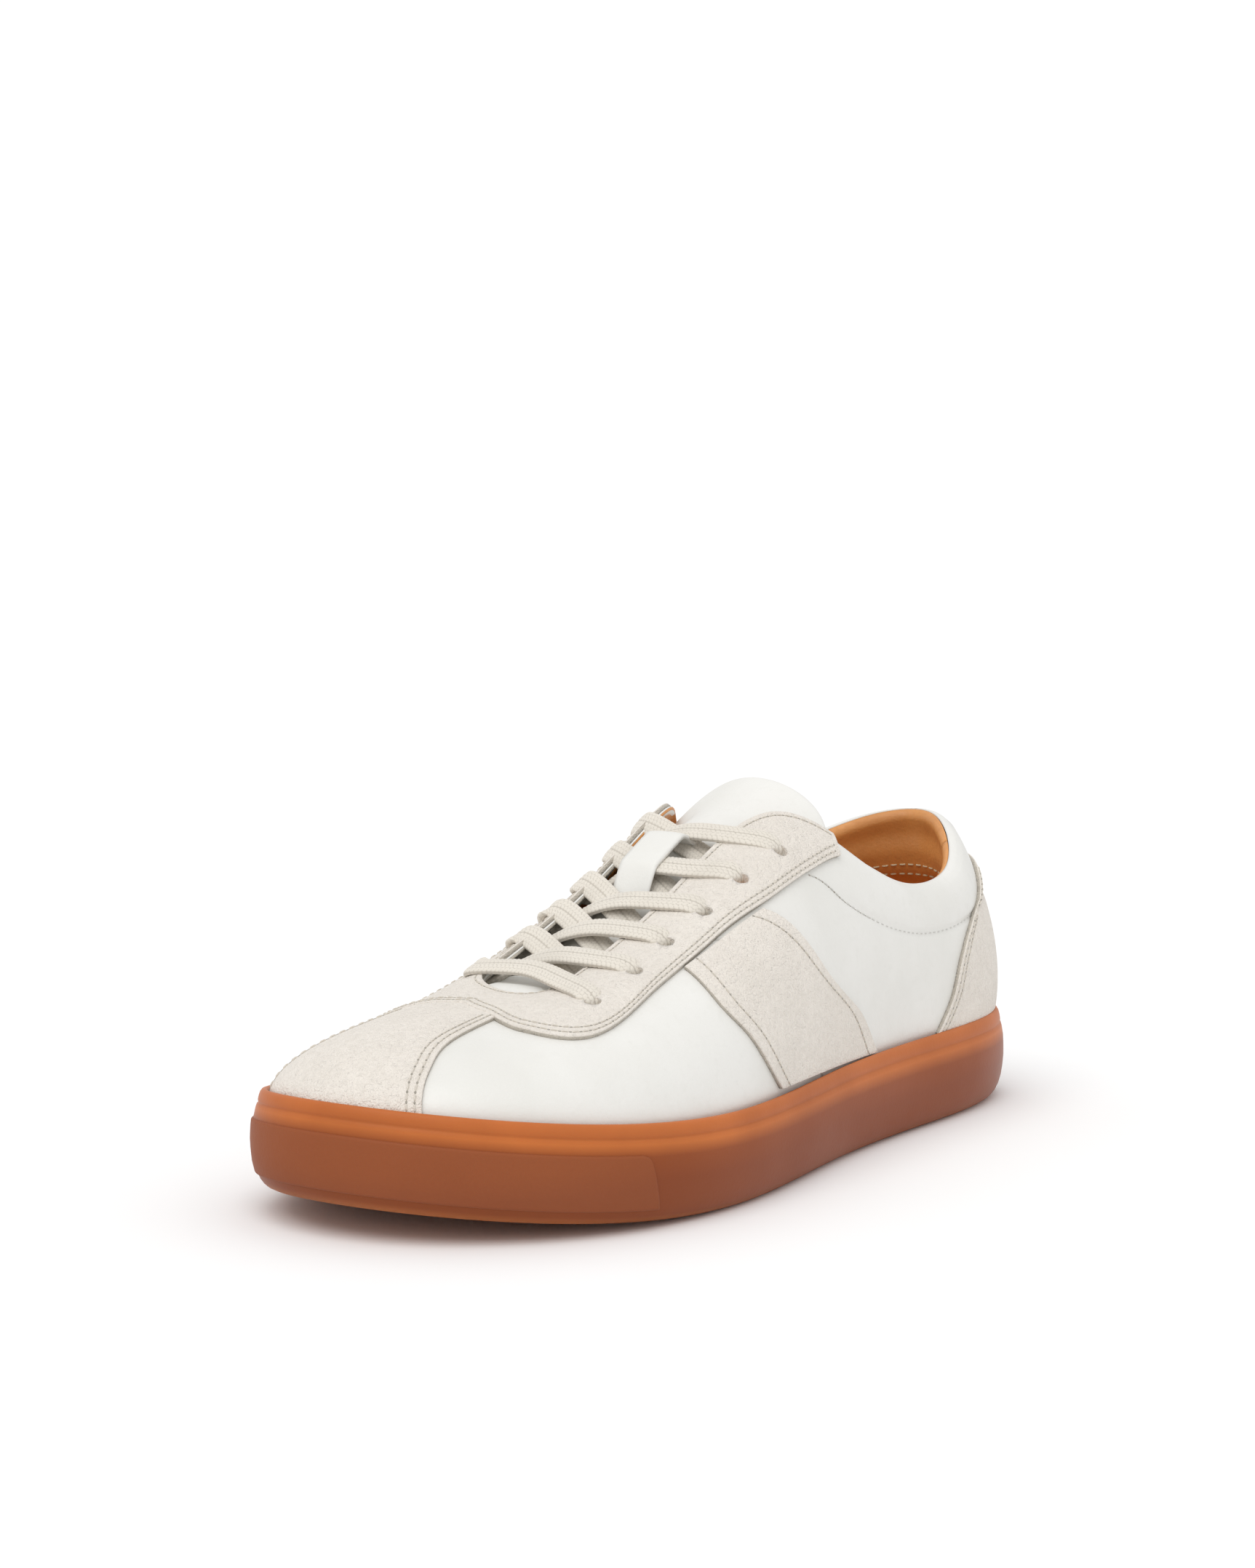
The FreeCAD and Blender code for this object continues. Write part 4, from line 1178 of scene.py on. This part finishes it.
def stage():
    """Pale floor without an edge in view."""
    reach = 6.0
    corners = [(-reach, -reach, 0), (reach, -reach, 0), (reach, reach, 0), (-reach, reach, 0)]
    mesh = bpy.data.meshes.new("floor")
    mesh.from_pydata(corners, [], [(0, 1, 2, 3)])
    floor = bpy.data.objects.new("floor", mesh)
    bpy.context.scene.collection.objects.link(floor)
    made, tree, shader = material("pale_floor", 0.9)
    tone = texture(tree, "ShaderNodeTexNoise", 3.0, 2.0)
    colour = mix(tree, (0.94, 0.94, 0.94), (0.92, 0.92, 0.92), tone.outputs[0])
    tree.links.new(colour, shader.inputs["Base Color"])
    shader.inputs["Specular IOR Level"].default_value = 0.1
    mesh.materials.append(made)


def direction(azimuth, elevation):
    """Unit vector towards an azimuth and elevation."""
    level = math.cos(elevation)
    return Vector((math.cos(azimuth) * level, math.sin(azimuth) * level, math.sin(elevation)))


def camera():
    """Camera on the toe's outer side, low and far, as in a catalogue view."""
    azimuth, elevation = math.radians(32.44), math.radians(8.31)
    distance, look_at = 1.0, Vector((-MID_X / 1000, -MID_Y / 1000, 0.05))
    turn_left, tilt_up, roll = math.radians(0.79), math.radians(2.887), math.radians(1.134)
    back = direction(azimuth, elevation)
    azimuth += turn_left
    axis = direction(azimuth, elevation - tilt_up)
    right = Vector((-math.sin(azimuth), math.cos(azimuth), 0))
    up = axis.cross(right)
    right, up = right * math.cos(roll) + up * math.sin(roll), up * math.cos(roll) - right * math.sin(roll)
    data = bpy.data.cameras.new("camera")
    data.sensor_fit = "VERTICAL"
    data.sensor_height = 36.0
    data.lens = 83.34
    data.clip_end = 50.0
    eye = bpy.data.objects.new("camera", data)
    bpy.context.scene.collection.objects.link(eye)
    turned = Matrix((right, up, axis)).transposed().to_4x4()
    eye.matrix_world = Matrix.Translation(look_at + back * distance) @ turned
    bpy.context.scene.camera = eye


def daylight():
    """White studio: an even surround, and a wide soft lamp from above the toe."""
    data = bpy.data.lights.new("soft_sun", "SUN")
    data.energy = 1.15
    data.angle = math.radians(50)
    lamp = bpy.data.objects.new("soft_sun", data)
    bpy.context.scene.collection.objects.link(lamp)
    lamp.rotation_euler = Vector((-0.50, -0.10, -0.86)).to_track_quat("-Z", "Y").to_euler()
    world = bpy.data.worlds.new("studio")
    bpy.context.scene.world = world
    world.use_nodes = True
    nodes, links = world.node_tree.nodes, world.node_tree.links
    surround, backdrop = nodes["Background"], nodes.new("ShaderNodeBackground")
    for background, strength in ((surround, 0.82), (backdrop, 1.05)):
        background.inputs[0].default_value = (1, 1, 1, 1)
        background.inputs[1].default_value = strength
    rays = nodes.new("ShaderNodeLightPath")
    choose = nodes.new("ShaderNodeMixShader")
    links.new(rays.outputs["Is Camera Ray"], choose.inputs[0])
    links.new(surround.outputs[0], choose.inputs[1])
    links.new(backdrop.outputs[0], choose.inputs[2])
    links.new(choose.outputs[0], nodes["World Output"].inputs[0])


stage()
camera()
daylight()
bpy.context.scene.view_settings.view_transform = "Standard"
